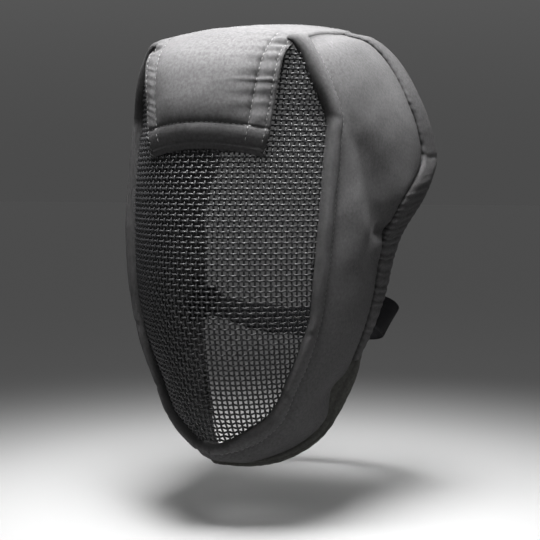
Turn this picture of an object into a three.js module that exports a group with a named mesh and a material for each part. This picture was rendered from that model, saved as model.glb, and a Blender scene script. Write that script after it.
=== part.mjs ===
// Mesh face mask: a woven wire bowl held in a padded cloth hood that is open at the back.
// Millimetres, +Z up. The mask faces -Y and +X is the wearer's left.
// The tables measure depth (y) back from the plane of the rim and height (z) up from nose level.
// The last group sets the whole mask on its seat, the underside of the crown band.
import * as THREE from 'three';

// Clear space between pieces that are sewn or tucked together
const GAP = 0.35;

// Where the crown band rests on the head
const SEAT = { y: 60, z: 151.9 };

// Wire bowl: half thickness, level of its top and bottom edge, and the coarse net cut through it
const MESH = { half: 1, top: 135, bottom: -102.5, columns: 9, rows: 12, bar: 3.6, border: 6, chinBorder: 13 };
// How far the bowl's columns crowd towards its middle, in radians, so that they lie evenly along its arc
const ARC_SPREAD = 0.87;

// Padded rim roll: where its middle stands above the line from mesh to seam, and points round it
const RIM = { lift: 1.4, points: 10 };

// Panel: how far its edges are drawn in, over what distance, and where its outer face is sampled
const PANEL = { pull: 1.8, pullOver: 9 };
const ACROSS = [0, 0.035, 0.13, 0.24, 0.35, 0.47, 0.6, 0.74, 0.88, 0.965, 1];

// Bound rear edge: half thickness and how deep its middle lies under the panel's face
const BINDING = { half: 4.5, sunk: 2.2, points: 8, from: 0, to: 13 };

// Webbing: width, thickness, the row of the side table where it is sewn, and its depth under the face there
const STRAP = { width: 22, thick: 2, row: 11.7, sunk: 11.6 };

// Steps taken between two rows of a table
const STEPS = { panel: 2, rim: 2, binding: 2, hem: 2, flap: 2.4, strap: 3 };

// Lines of one side of the hood, from the crown down to the chin. rim is the edge of the mesh, seam the
// line where rim and panel are sewn, rear the outer edge of the panel with its binding.
const SIDE = [
  { at: 'crown', rim: [51, -3.6, 137], seam: [52.6, 11.5, 142], rear: [43, 98, 154.5] },
  { at: 'hairline', rim: [52.8, -1.8, 129.6], seam: [59.2, 12.6, 129.4], rear: [53, 109.7, 150.5] },
  { at: 'forehead', rim: [57.2, 1, 112], seam: [65.6, 14.6, 112.2], rear: [63, 119.5, 141] },
  { at: 'temple', rim: [64.3, 8.4, 92], seam: [70.6, 18, 93], rear: [73, 125, 126.5] },
  { at: 'brow', rim: [64.9, 6.2, 80], seam: [70.6, 15.6, 80.5], rear: [80, 128.6, 111.3] },
  { at: 'above ear', rim: [64.8, 3.2, 66], seam: [70.3, 13.6, 66], rear: [84.5, 135, 96] },
  { at: 'rear corner', rim: [64.5, 0.6, 50], seam: [70, 10.5, 50], rear: [87, 142.7, 73.2] },
  { at: 'ear', rim: [64.2, -0.8, 36], seam: [69.8, 7.5, 35], rear: [85.5, 131.5, 56.4] },
  { at: 'ear lobe', rim: [63.7, -2.1, 22], seam: [69, 6, 20], rear: [82, 121.8, 44] },
  { at: 'narrow', rim: [62.8, -3.2, 8], seam: [68, 5, 5], rear: [76.5, 104, 22] },
  { at: 'cheek', rim: [61.1, -3.6, -10], seam: [66.5, 3.7, -9], rear: [73, 98.7, 4] },
  { at: 'mouth', rim: [58.5, -2.6, -29], seam: [63.8, 3, -28], rear: [70.5, 93, -15] },
  { at: 'lower cheek', rim: [53.8, -3.8, -43.6], seam: [60, 2, -44], rear: [66.5, 83, -37] },
  { at: 'jaw', rim: [47.8, -3.6, -58], seam: [54.7, 1.5, -58.5], rear: [60.3, 72, -57] },
  { at: 'lower jaw', rim: [42.6, -3.8, -69], seam: [50, 1, -68.5], rear: [55.2, 63, -69] },
  { at: 'notch top', rim: [38.8, -3.9, -78.5], seam: [46.3, 1, -77.5], rear: [50.5, 51, -78.5] },
  { at: 'notch foot', rim: [32.2, -6.8, -88.5], seam: [40, 0.5, -90], rear: [47, 50, -97.5] },
  { at: 'jaw hem', rim: [27, -9.2, -92.4], seam: [33, -1, -98], rear: [38.5, 42, -109.6] },
  { at: 'side of chin', rim: [22, -11.3, -95.8], seam: [26, -4, -104.2], rear: [30, 32.5, -116] },
  { at: 'under lip', rim: [16.5, -13, -99.2], seam: [19, -7.5, -107.4], rear: [22, 21.5, -119.4] },
  { at: 'chin curve', rim: [10, -14.8, -102.8], seam: [11.5, -11, -110], rear: [12.5, 6, -120.4] },
  { at: 'chin', rim: [4.6, -16.2, -105], seam: [5, -13.6, -111.6], rear: [5.2, -6.8, -118.6] },
  { at: 'chin seam', rim: [0.2, -16.8, -106], seam: [0.2, -14.6, -112.4], rear: [0.2, -12.4, -116.8] },
];

// Padding at the same rows. bulge swells the panel outwards, in a direction lifted by so many degrees.
// bind is the width of the binding, thick the panel's padding, roll the rim's half height.
const PADDING = [
  { at: 'crown', bulge: 2, lift: 70, bind: 12, thick: 5, roll: 3.2 },
  { at: 'hairline', bulge: 6, lift: 50, bind: 14, thick: 6, roll: 4.2 },
  { at: 'forehead', bulge: 7, lift: 40, bind: 16, thick: 6, roll: 4.6 },
  { at: 'temple', bulge: 6.2, lift: 28, bind: 18, thick: 6, roll: 4.8 },
  { at: 'brow', bulge: 7.5, lift: 20, bind: 19, thick: 6, roll: 4.8 },
  { at: 'above ear', bulge: 9, lift: 14, bind: 20, thick: 6, roll: 4.9 },
  { at: 'rear corner', bulge: 9.5, lift: 8, bind: 23, thick: 6, roll: 5 },
  { at: 'ear', bulge: 8, lift: 0, bind: 28, thick: 6, roll: 5 },
  { at: 'ear lobe', bulge: 6, lift: 0, bind: 30, thick: 6, roll: 5 },
  { at: 'narrow', bulge: 4.5, lift: 0, bind: 29, thick: 6, roll: 4.9 },
  { at: 'cheek', bulge: 4.5, lift: 0, bind: 25, thick: 6, roll: 4.7 },
  { at: 'mouth', bulge: 5.5, lift: -4, bind: 20, thick: 6, roll: 4.3 },
  { at: 'lower cheek', bulge: 6, lift: -8, bind: 13, thick: 6, roll: 4.1 },
  { at: 'jaw', bulge: 6, lift: -12, bind: 5, thick: 6, roll: 4.1 },
  { at: 'lower jaw', bulge: 6, lift: -16, bind: 0.4, thick: 6, roll: 4.1 },
  { at: 'notch top', bulge: 5.5, lift: -22, bind: 0.4, thick: 6, roll: 4.1 },
  { at: 'notch foot', bulge: 5, lift: -35, bind: 0.4, thick: 6, roll: 4.1 },
  { at: 'jaw hem', bulge: 4.2, lift: -45, bind: 0.4, thick: 6, roll: 4.1 },
  { at: 'side of chin', bulge: 3.5, lift: -55, bind: 0.4, thick: 5.6, roll: 4 },
  { at: 'under lip', bulge: 3, lift: -65, bind: 0.4, thick: 5.2, roll: 3.8 },
  { at: 'chin curve', bulge: 2.2, lift: -80, bind: 0.4, thick: 4.8, roll: 3.6 },
  { at: 'chin', bulge: 1.2, lift: -85, bind: 0.4, thick: 4.4, roll: 3.5 },
  { at: 'chin seam', bulge: 0.4, lift: -85, bind: 0.4, thick: 4.2, roll: 3.4 },
];

// The long dent behind the temple: its place between seam and rear edge, and its depth.
// The first row lies at the side table's row from. front and rear are the widths of its two flanks, as
// shares of the panel.
const DENT_LINE = { from: 3, front: 0.085, rear: 0.12 };
const DENT = [
  { at: 'temple', share: 0.1, deep: 0 },
  { at: 'brow', share: 0.13, deep: 1.6 },
  { at: 'above ear', share: 0.18, deep: 4.2 },
  { at: 'rear corner', share: 0.245, deep: 5.6 },
  { at: 'ear', share: 0.335, deep: 6 },
  { at: 'ear lobe', share: 0.445, deep: 5.2 },
  { at: 'narrow', share: 0.56, deep: 3 },
  { at: 'cheek', share: 0.68, deep: 0 },
];

// Foremost line of the wire bowl on the middle plane, from its top edge to the chin
const PROFILE = [
  { z: 142, y: -5 },
  { z: 132, y: -11 },
  { z: 124, y: -15.4 },
  { z: 112, y: -20.2 },
  { z: 100, y: -24 },
  { z: 75, y: -30.5 },
  { z: 45, y: -36.5 },
  { z: 20, y: -39.5 },
  { z: -4, y: -40 },
  { z: -25, y: -38.5 },
  { z: -48, y: -35 },
  { z: -70, y: -30.5 },
  { z: -90, y: -24.5 },
  { z: -106, y: -17.3 },
];

// Forehead flap and crown band, from the flap's lower hem up and back. y and z follow the outer face on
// the middle plane, half is the half width, sag how far the sides fall behind the middle, droop how far they
// hang below it, thick the padding.
const CROWN = [
  { at: 'flap hem', y: -38.4, z: 76, half: 41.8, sag: 13, droop: 3.6, thick: 5 },
  { at: 'flap stitch', y: -37.6, z: 88, half: 43.3, sag: 15.4, droop: 3.2, thick: 4.6 },
  { at: 'flap middle', y: -34.4, z: 107, half: 45.5, sag: 15.4, droop: 2.2, thick: 4.6 },
  { at: 'flap top', y: -28.6, z: 123, half: 47, sag: 11, droop: 1.4, thick: 4.6 },
  { at: 'fold below', y: -21, z: 134.2, half: 47.4, sag: 7, droop: 0.4, thick: 4.6 },
  { at: 'fold', y: -11.2, z: 142.4, half: 47.2, sag: 4.8, droop: 0, thick: 4.6 },
  { at: 'fold above', y: 1, z: 147.6, half: 46.8, sag: 3.6, droop: 0, thick: 4.6 },
  { at: 'band front', y: 16, z: 150.4, half: 0, sag: 0, droop: 0, thick: 4.6 },
  { at: 'band', y: 44, z: 154.4, half: 0, sag: 0, droop: 0, thick: 4.6 },
  { at: 'crown', y: 74, z: 158.4, half: 0, sag: 0, droop: 0, thick: 4.6 },
  { at: 'band rear', y: 98, z: 160.6, half: 0, sag: 0, droop: 0, thick: 4.6 },
];

// Rolled hem below the panel, from the chin to the tail that shows behind the notch.
// across and depth are the half sizes of its section.
const HEM = [
  { at: 'chin', point: [0.2, -9.2, -118.9], across: 2.4, depth: 3 },
  { at: 'chin side', point: [5.2, -3.2, -120.4], across: 2.6, depth: 3.2 },
  { at: 'chin curve', point: [12.6, 9.6, -122.2], across: 2.9, depth: 3.5 },
  { at: 'under lip', point: [22.3, 25.2, -121.3], across: 3.1, depth: 3.8 },
  { at: 'side of chin', point: [30.4, 36, -117.8], across: 3.2, depth: 3.9 },
  { at: 'jaw', point: [38.6, 45.4, -111.2], across: 3.4, depth: 3.9 },
  { at: 'notch foot', point: [44.6, 54.6, -101], across: 4.6, depth: 3.4 },
  { at: 'tail', point: [47.5, 59.5, -89.5], across: 8, depth: 2.4 },
  { at: 'tail top', point: [52.5, 66, -76.5], across: 6.5, depth: 2.2 },
  { at: 'tail end', point: [58, 72.6, -63.6], across: 3.6, depth: 2 },
  { at: 'tail tip', point: [61.2, 76.2, -54.5], across: 1.6, depth: 1.3 },
];

// Middle line of the webbing, from where it is sewn inside the left panel (sewn is the place between seam
// and rear edge) to the nape. lean tips its upper edge outwards, in degrees.
const WEBBING = [
  { at: 'stitches', sewn: 0.66, lean: -6 },
  { at: 'under binding', sewn: 0.82, lean: -6 },
  { at: 'leaving', sewn: 0.98, lean: -3 },
  { at: 'behind panel', point: [62.6, 106, -33.5], lean: 20 },
  { at: 'turn', point: [61.6, 122.5, -39.5], lean: 32 },
  { at: 'neck', point: [52, 143, -45.5], lean: 26 },
  { at: 'side of nape', point: [31, 160, -49], lean: 14 },
  { at: 'nape', point: [0, 167, -50], lean: 8 },
];

const COLOURS = { cloth: 0x77787a, tape: 0x6f7072, thickCloth: 0x7d7e80, wire: 0x26272a, webbing: 0x1b1b1d };

const UP = new THREE.Vector3(0, 0, 1);
const vector = (xyz) => new THREE.Vector3(...xyz);
const spline = (points) => new THREE.CatmullRomCurve3(points, false, 'centripetal');
const column = (table, name) => spline(table.map((row) => vector(row[name])));
const clamp01 = (value) => Math.min(1, Math.max(0, value));

// Value of a numeric column at a place counted in rows
function valueAt(table, name, place) {
  const row = Math.min(table.length - 2, Math.max(0, Math.floor(place)));
  return THREE.MathUtils.lerp(table[row][name], table[row + 1][name], clamp01(place - row));
}

// Places along a table, counted in rows, with so many steps to a row
function places(from, to, stepsPerRow) {
  const count = Math.round((to - from) * stepsPerRow);
  return Array.from({ length: count + 1 }, (_, step) => from + ((to - from) * step) / count);
}

const LAST = SIDE.length - 1;
const rimCurve = column(SIDE, 'rim');
const seamCurve = column(SIDE, 'seam');
const rearCurve = column(SIDE, 'rear');
const onRow = (curve, place) => curve.getPoint(clamp01(place / LAST));

// Outer face of a side panel: a line from seam to rear edge, swollen outwards and dented behind the temple
function panelFace(place, share) {
  const lift = THREE.MathUtils.degToRad(valueAt(PADDING, 'lift', place));
  const swell = valueAt(PADDING, 'bulge', place) * 6.75 * share * (1 - share) ** 2;
  const dentRow = place - DENT_LINE.from;
  const behind = share - valueAt(DENT, 'share', dentRow);
  const offCentre = behind / (behind < 0 ? DENT_LINE.front : DENT_LINE.rear);
  const dent = valueAt(DENT, 'deep', dentRow) * Math.exp(-(offCentre ** 2));
  const point = onRow(seamCurve, place).lerp(onRow(rearCurve, place), share);
  point.x += (swell - dent) * Math.cos(lift);
  point.z += (swell - dent) * Math.sin(lift);
  return point;
}

// Outward direction of the panel, which turns upright at its top edge so that it meets the band squarely
function panelNormal(place, share) {
  const step = 0.12;
  const above = panelFace(Math.max(0, place - step), share);
  const below = panelFace(Math.min(LAST, place + step), share);
  const front = panelFace(place, share - 0.02);
  const back = panelFace(place, share + 0.02);
  const normal = below.sub(above).cross(back.sub(front)).normalize();
  return normal.lerp(UP, clamp01(1 - place)).normalize();
}

// Left-hand pieces end on the middle plane, half a gap from it
function keepLeft(point) {
  point.x = Math.max(point.x, GAP / 2);
  return point;
}

// Closed body through rings of equal length. Each ring runs across one side and back along the other,
// so an end is closed by a strip between the two.
function loft(rings) {
  const count = rings[0].length;
  const positions = rings.flat().flatMap((point) => point.toArray());
  const index = [];
  for (let ring = 0; ring < rings.length - 1; ring += 1) {
    for (let side = 0; side < count; side += 1) {
      const a = ring * count + side;
      const b = ring * count + ((side + 1) % count);
      index.push(a, b, b + count, a, b + count, a + count);
    }
  }
  const last = (rings.length - 1) * count;
  for (let side = 0; side < count / 2 - 1; side += 1) {
    const far = count - 1 - side;
    index.push(side + 1, side, far, side + 1, far, far - 1);
    index.push(last + side, last + side + 1, last + far - 1, last + side, last + far - 1, last + far);
  }
  return solid(positions, index);
}

// Geometry with its faces pointing out
function solid(positions, index) {
  const corner = (at) => new THREE.Vector3().fromArray(positions, 3 * index[at]);
  let volume = 0;
  for (let at = 0; at < index.length; at += 3) {
    volume += corner(at).dot(corner(at + 1).cross(corner(at + 2)));
  }
  if (volume < 0) {
    for (let at = 0; at < index.length; at += 3) {
      [index[at], index[at + 1]] = [index[at + 1], index[at]];
    }
  }
  const geometry = new THREE.BufferGeometry();
  geometry.setAttribute('position', new THREE.Float32BufferAttribute(positions, 3));
  geometry.setIndex(index);
  geometry.computeVertexNormals();
  return geometry;
}

// The same body on the other side of the middle plane
function mirrored(geometry) {
  const { array } = geometry.getAttribute('position');
  const positions = Array.from(array, (value, at) => (at % 3 ? value : -value));
  return solid(positions, Array.from(geometry.getIndex().array));
}

// Oval ring of points, half sizes along two directions
function oval(centre, wide, halfWide, high, halfHigh, points) {
  return Array.from({ length: points }, (_, step) => {
    const angle = ((step + 0.5) * 2 * Math.PI) / points;
    return centre.clone()
      .addScaledVector(wide, halfWide * Math.cos(angle))
      .addScaledVector(high, halfHigh * Math.sin(angle));
  });
}

// Wire bowl
// Row of the side table at which the mesh edge stands at a given height
function rowAtHeight(height) {
  let high = 0;
  let low = LAST;
  for (let turn = 0; turn < 40; turn += 1) {
    const middle = (high + low) / 2;
    if (onRow(rimCurve, middle).z > height) {
      high = middle;
    } else {
      low = middle;
    }
  }
  return low;
}

const profileCurve = spline(PROFILE.map((row) => new THREE.Vector3(0, row.y, row.z)));
function profileDepth(height) {
  let row = 0;
  while (row < PROFILE.length - 2 && PROFILE[row + 1].z > height) {
    row += 1;
  }
  const share = (PROFILE[row].z - height) / (PROFILE[row].z - PROFILE[row + 1].z);
  return profileCurve.getPoint((row + clamp01(share)) / (PROFILE.length - 1)).y;
}

// Middle surface of the bowl: level sections are parabolas from the foremost line back to the rims
function bowl(height, across) {
  const edge = onRow(rimCurve, rowAtHeight(height));
  const half = edge.x - GAP - 0.35;
  const share = Math.sin(across * ARC_SPREAD) / Math.sin(ARC_SPREAD);
  const front = profileDepth(height);
  return new THREE.Vector3(half * share, front + (edge.y - front) * share * share, height);
}

function bowlNormal(height, across) {
  const right = bowl(height, across + 0.02).sub(bowl(height, across - 0.02));
  const up = bowl(height + 1, across).sub(bowl(height - 1, across));
  return right.cross(up).normalize();
}

// Lines of a net in shares of its width: border, then gaps and bars by turns, then border
function netLines(gaps, bar, firstBorder, lastBorder) {
  const gap = (1 - firstBorder - lastBorder - bar * (gaps - 1)) / gaps;
  const lines = [0];
  for (let number = 0; number < gaps; number += 1) {
    const start = firstBorder + number * (gap + bar);
    lines.push(start, start + gap);
  }
  return [...lines, 1];
}

// Sheet with a thickness, made of cells on a grid, with every second cell of every second row left open
function netSolid(middle, normal, columns, rows, half) {
  const positions = [];
  const numbers = new Map();
  const corner = (row, col, side) => {
    const key = `${row} ${col} ${side}`;
    if (!numbers.has(key)) {
      numbers.set(key, positions.length / 3);
      const place = [rows[row], columns[col]];
      const point = middle(...place).addScaledVector(normal(...place), side * half);
      positions.push(...point.toArray());
    }
    return numbers.get(key);
  };
  const filled = (row, col) => row >= 0 && col >= 0 && row < rows.length - 1 && col < columns.length - 1
    && !(row % 2 && col % 2);
  const index = [];
  const quad = (a, b, c, d) => index.push(a, b, c, a, c, d);
  for (let row = 0; row < rows.length - 1; row += 1) {
    for (let col = 0; col < columns.length - 1; col += 1) {
      if (filled(row, col)) {
        const ring = [[row, col], [row, col + 1], [row + 1, col + 1], [row + 1, col]];
        const beyond = [[row - 1, col], [row, col + 1], [row + 1, col], [row, col - 1]];
        const front = ring.map(([r, c]) => corner(r, c, 1));
        const rear = ring.map(([r, c]) => corner(r, c, -1));
        quad(...front);
        quad(rear[3], rear[2], rear[1], rear[0]);
        for (let side = 0; side < 4; side += 1) {
          const next = (side + 1) % 4;
          if (!filled(...beyond[side])) {
            quad(front[next], front[side], rear[side], rear[next]);
          }
        }
      }
    }
  }
  return solid(positions, index);
}

function faceMesh() {
  const widest = 2 * bowl(SIDE[4].rim[2], 1).x * 1.2;
  const tall = MESH.top - MESH.bottom;
  const columns = netLines(MESH.columns, MESH.bar / widest, MESH.border / widest, MESH.border / widest)
    .map((share) => 2 * share - 1);
  const rows = netLines(MESH.rows, MESH.bar / tall, MESH.border / tall, MESH.chinBorder / tall)
    .map((share) => MESH.top - share * tall);
  return netSolid(bowl, bowlNormal, columns, rows, MESH.half);
}

// Padded rim between mesh and panel
function rimRing(place) {
  const inner = onRow(rimCurve, place);
  const outer = onRow(seamCurve, place);
  const step = 0.1;
  const along = onRow(rimCurve, place + step).add(onRow(seamCurve, place + step))
    .sub(onRow(rimCurve, place - step)).sub(onRow(seamCurve, place - step));
  const across = outer.clone().sub(inner);
  const half = across.length() / 2 - GAP;
  const out = along.cross(across).normalize();
  const centre = inner.lerp(outer, 0.5).addScaledVector(out, RIM.lift);
  const roll = valueAt(PADDING, 'roll', place);
  return oval(centre, across.normalize(), half, out, roll, RIM.points).map(keepLeft);
}

// Padded side panel between rim and binding
function panelRing(place) {
  const length = onRow(seamCurve, place).distanceTo(onRow(rearCurve, place));
  const first = GAP / length;
  const last = 1 - (valueAt(PADDING, 'bind', place) + 1.7 * GAP) / length;
  const thick = valueAt(PADDING, 'thick', place);
  const outer = [];
  const inner = [];
  for (const step of ACROSS) {
    const share = first + (last - first) * step;
    const fromEdge = Math.min(step, 1 - step) * length;
    const pull = PANEL.pull * (1 - clamp01(fromEdge / PANEL.pullOver)) ** 2;
    const normal = panelNormal(place, share);
    outer.push(keepLeft(panelFace(place, share).addScaledVector(normal, -pull)));
    inner.push(keepLeft(panelFace(place, share).addScaledVector(normal, pull - thick)));
  }
  return [...outer, ...inner.reverse()];
}

// Binding wrapped round the rear edge
function bindingRing(place) {
  const wide = valueAt(PADDING, 'bind', place);
  const rear = panelFace(place, 1);
  const out = rear.clone().sub(panelFace(place, 0.93)).normalize();
  const normal = panelNormal(place, 0.97);
  const centre = rear.addScaledVector(out, -wide / 2).addScaledVector(normal, -BINDING.sunk);
  return oval(centre, out, wide / 2, normal, BINDING.half, BINDING.points);
}

// Rolled hem
const hemCurve = column(HEM, 'point');
function hemRing(place) {
  const share = place / (HEM.length - 1);
  const along = hemCurve.getTangent(share);
  const out = along.clone().cross(UP).normalize();
  const down = out.clone().cross(along);
  const across = valueAt(HEM, 'across', place);
  const depth = valueAt(HEM, 'depth', place);
  return oval(hemCurve.getPoint(share), down, across, out, depth, 8).map(keepLeft);
}

// Forehead flap and crown band. Over the crown its edges follow the panels' top edges.
const crownCurve = spline(CROWN.map((row) => new THREE.Vector3(0, row.y, row.z)));
function panelTop(depth) {
  const front = SIDE[0].seam[1];
  const rear = SIDE[0].rear[1];
  return panelFace(0, clamp01((depth - front) / (rear - front)));
}

function crownRing(place) {
  const share = place / (CROWN.length - 1);
  const middle = crownCurve.getPoint(share);
  const along = crownCurve.getTangent(share);
  const inward = new THREE.Vector3(0, along.z, -along.y);
  const top = panelTop(middle.y);
  const onBand = clamp01(place - 6);
  const half = THREE.MathUtils.lerp(valueAt(CROWN, 'half', Math.min(place, 6)), top.x - 2 * GAP, onBand);
  const sag = THREE.MathUtils.lerp(valueAt(CROWN, 'sag', Math.min(place, 6)), middle.z - top.z, onBand);
  const droop = valueAt(CROWN, 'droop', place);
  const thick = valueAt(CROWN, 'thick', place);
  const outer = [];
  const inner = [];
  for (const step of ACROSS) {
    const across = 2 * step - 1;
    const edge = clamp01((Math.abs(across) - 0.93) / 0.07) ** 2 * 0.3 * thick;
    const point = middle.clone().setX(half * across).addScaledVector(inward, sag * across * across);
    point.z -= droop * across * across;
    outer.push(point.clone().addScaledVector(inward, edge));
    inner.push(point.addScaledVector(inward, thick - edge));
  }
  return [...outer, ...inner.reverse()];
}

// Webbing sewn inside both panels and led round the nape
function webbingPoint(row) {
  if (row.point) {
    return vector(row.point);
  }
  return panelFace(STRAP.row, row.sewn).addScaledVector(panelNormal(STRAP.row, row.sewn), -STRAP.sunk);
}

function strapRings() {
  const left = WEBBING.map((row) => ({ point: webbingPoint(row), lean: row.lean }));
  const right = left.slice(0, -1).reverse()
    .map(({ point, lean }) => ({ point: point.clone().setX(-point.x), lean }));
  const table = [...left, ...right];
  const curve = spline(table.map((row) => row.point));
  return places(0, table.length - 1, STEPS.strap).map((place) => {
    const share = place / (table.length - 1);
    const along = curve.getTangent(share);
    const lean = THREE.MathUtils.degToRad(valueAt(table, 'lean', place));
    const out = along.clone().cross(UP).normalize().applyAxisAngle(along, lean);
    const up = out.clone().cross(along);
    const half = STRAP.width / 2;
    const thin = STRAP.thick / 2;
    const section = [[-half, 0.4 * thin], [0.6 - half, thin], [half - 0.6, thin], [half, 0.4 * thin]];
    const point = ([wide, deep]) => curve.getPoint(share)
      .addScaledVector(up, wide)
      .addScaledVector(out, deep);
    return [...section.map(point), ...section.reverse().map(([wide, deep]) => point([wide, -deep]))];
  });
}

const mask = new THREE.Group();

function add(name, geometry, color, roughness, metalness = 0) {
  const mesh = new THREE.Mesh(geometry, new THREE.MeshStandardMaterial({ color, roughness, metalness }));
  mesh.name = name;
  mask.add(mesh);
}

function addPair(name, geometry, color, roughness) {
  add(`${name}_left`, geometry, color, roughness);
  add(`${name}_right`, mirrored(geometry), color, roughness);
}

add('face_mesh', faceMesh(), COLOURS.wire, 0.45, 0.7);
addPair('rim', loft(places(0, LAST, STEPS.rim).map(rimRing)), COLOURS.cloth, 0.85);
addPair('side_panel', loft(places(0, LAST, STEPS.panel).map(panelRing)), COLOURS.cloth, 0.85);
const bound = places(BINDING.from, BINDING.to, STEPS.binding);
addPair('binding', loft(bound.map(bindingRing)), COLOURS.tape, 0.85);
addPair('hem', loft(places(0, HEM.length - 1, STEPS.hem).map(hemRing)), COLOURS.thickCloth, 0.9);
add('top_flap', loft(places(0, CROWN.length - 1, STEPS.flap).map(crownRing)), COLOURS.cloth, 0.85);
add('rear_strap', loft(strapRings()), COLOURS.webbing, 0.7);

mask.position.set(0, -SEAT.y, -SEAT.z);
const part = new THREE.Group();
part.add(mask);

export default part;
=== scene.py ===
# %% [markdown]
# # A padded mesh face mask
# The mask is a bowl of woven wire in front of the face, sewn into a hood of padded grey cloth that is
# open at the back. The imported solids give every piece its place. This lesson dresses them: each piece
# becomes a surface worked out with numpy, with its padding, seams and threads, and gets its own finish.

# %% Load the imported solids
import math

import bpy
import numpy as np
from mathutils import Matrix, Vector


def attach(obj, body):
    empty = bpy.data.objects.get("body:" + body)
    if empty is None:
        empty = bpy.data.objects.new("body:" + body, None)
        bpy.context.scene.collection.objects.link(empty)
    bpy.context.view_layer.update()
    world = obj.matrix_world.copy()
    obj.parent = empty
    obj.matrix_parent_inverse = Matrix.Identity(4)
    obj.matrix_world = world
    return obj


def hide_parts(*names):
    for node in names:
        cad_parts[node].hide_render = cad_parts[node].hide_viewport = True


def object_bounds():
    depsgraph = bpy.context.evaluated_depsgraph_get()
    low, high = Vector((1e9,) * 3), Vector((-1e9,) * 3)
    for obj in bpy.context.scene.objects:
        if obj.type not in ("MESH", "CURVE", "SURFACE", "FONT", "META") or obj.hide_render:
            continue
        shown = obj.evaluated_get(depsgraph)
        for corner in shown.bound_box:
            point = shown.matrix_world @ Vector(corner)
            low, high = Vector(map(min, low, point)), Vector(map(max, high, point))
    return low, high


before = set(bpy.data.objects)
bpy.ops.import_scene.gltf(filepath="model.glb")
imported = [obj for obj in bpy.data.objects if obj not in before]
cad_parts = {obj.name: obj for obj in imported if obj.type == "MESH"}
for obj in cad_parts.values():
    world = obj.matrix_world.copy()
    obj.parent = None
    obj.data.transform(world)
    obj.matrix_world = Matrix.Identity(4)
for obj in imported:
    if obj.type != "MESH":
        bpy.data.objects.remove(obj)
CAD_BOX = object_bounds()
MM = 0.001
# Origin of the solids, under the crown band, in the millimetres of the tables below.
SEAT = np.array([0.0, 60.0, 151.9])
print("nodes:", ", ".join(sorted(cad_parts)))

# %% [markdown]
# ## Camera, floor and light
# The camera stands a little above nose level and to the wearer's left, close enough for the near side to
# look larger. A large soft lamp hangs overhead, as in a small product studio, so the crown is bright and
# the chin lies in shade. Two weak lamps in front draw the crests of the wires, and a weak one behind
# touches the rear edges. The floor is pale. The sky is a dark grey that brightens upwards, because in
# front of a bright backdrop the thin wires would be lost.

# %% Camera at the viewing angle
VIEW = {"turn": 27.0, "rise": 4.0, "distance": 0.75, "lens": 80.65}
AIM = Vector((0.0251, -0.0472, -0.1520))


def direction(turn, rise):
    """Unit vector from the object to a place seen at that turn and rise, in degrees."""
    a, e = math.radians(turn), math.radians(rise)
    return Vector((math.sin(a) * math.cos(e), -math.cos(a) * math.cos(e), math.sin(e)))


def stand(thing, turn, rise, distance):
    """Puts a camera or lamp at that turn, rise and distance from AIM and points it there."""
    back = direction(turn, rise)
    thing.location = AIM + distance * back
    thing.rotation_euler = back.to_track_quat("Z", "Y").to_euler()
    bpy.context.scene.collection.objects.link(thing)


camera = bpy.data.objects.new("camera", bpy.data.cameras.new("camera"))
camera.data.lens = VIEW["lens"]
camera.data.clip_start = 0.01
stand(camera, VIEW["turn"], VIEW["rise"], VIEW["distance"])
bpy.context.scene.camera = camera
print("camera at", tuple(round(c, 4) for c in camera.location))

# %% Floor, sky and lamps
FLOOR = {"below": 0.035, "half": 12.0, "shade": 0.19, "rough": 0.9}
SKY = {"horizon": 0.070, "zenith": 0.38, "zenith_from": 0.9}
LAMPS = [
    # name, turn, rise, distance, size, spread in degrees, watts
    ("overhead", 10.0, 82.0, 0.56, 0.30, 62.0, 4.3),
    ("front_left", -25.0, 32.0, 1.5, 0.5, 60.0, 0.4),
    ("front_right", 62.0, 38.0, 1.5, 0.5, 60.0, 0.4),
    ("behind", 190.0, 50.0, 1.2, 0.6, 40.0, 0.7),
]


def new_material(name):
    """Material with nodes, its node tree and its shader."""
    material = bpy.data.materials.new(name)
    material.use_nodes = True
    return material, material.node_tree, material.node_tree.nodes["Principled BSDF"]


level = CAD_BOX[0].z - FLOOR["below"]
reach = FLOOR["half"]
floor_corners = [(x * reach, y * reach, level) for x, y in ((-1, -1), (1, -1), (1, 1), (-1, 1))]
floor_mesh = bpy.data.meshes.new("floor")
floor_mesh.from_pydata(floor_corners, [], [(0, 1, 2, 3)])
floor_paint, _, floor_shader = new_material("pale_floor")
floor_shader.inputs["Base Color"].default_value = (FLOOR["shade"],) * 3 + (1,)
floor_shader.inputs["Roughness"].default_value = FLOOR["rough"]
floor_mesh.materials.append(floor_paint)
floor = bpy.data.objects.new("floor", floor_mesh)
bpy.context.scene.collection.objects.link(floor)

world = bpy.data.worlds.new("studio")
world.use_nodes = True
sky = world.node_tree
upward = sky.nodes.new("ShaderNodeSeparateXYZ")
sky.links.new(sky.nodes.new("ShaderNodeTexCoord").outputs["Generated"], upward.inputs[0])
grade = sky.nodes.new("ShaderNodeMapRange")
grade.interpolation_type = "SMOOTHSTEP"
grade.inputs["From Max"].default_value = SKY["zenith_from"]
grade.inputs["To Min"].default_value = SKY["horizon"]
grade.inputs["To Max"].default_value = SKY["zenith"]
sky.links.new(upward.outputs["Z"], grade.inputs["Value"])
sky.links.new(grade.outputs["Result"], sky.nodes["Background"].inputs["Color"])
bpy.context.scene.world = world
bpy.context.scene.view_settings.view_transform = "Standard"

for name, turn, rise, distance, size, spread, watts in LAMPS:
    lamp = bpy.data.objects.new(name, bpy.data.lights.new(name, "AREA"))
    lamp.data.size = size
    lamp.data.spread = math.radians(spread)
    lamp.data.energy = watts
    stand(lamp, turn, rise, distance)
print("floor level", round(level, 4), "with", len(LAMPS), "lamps")

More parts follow.
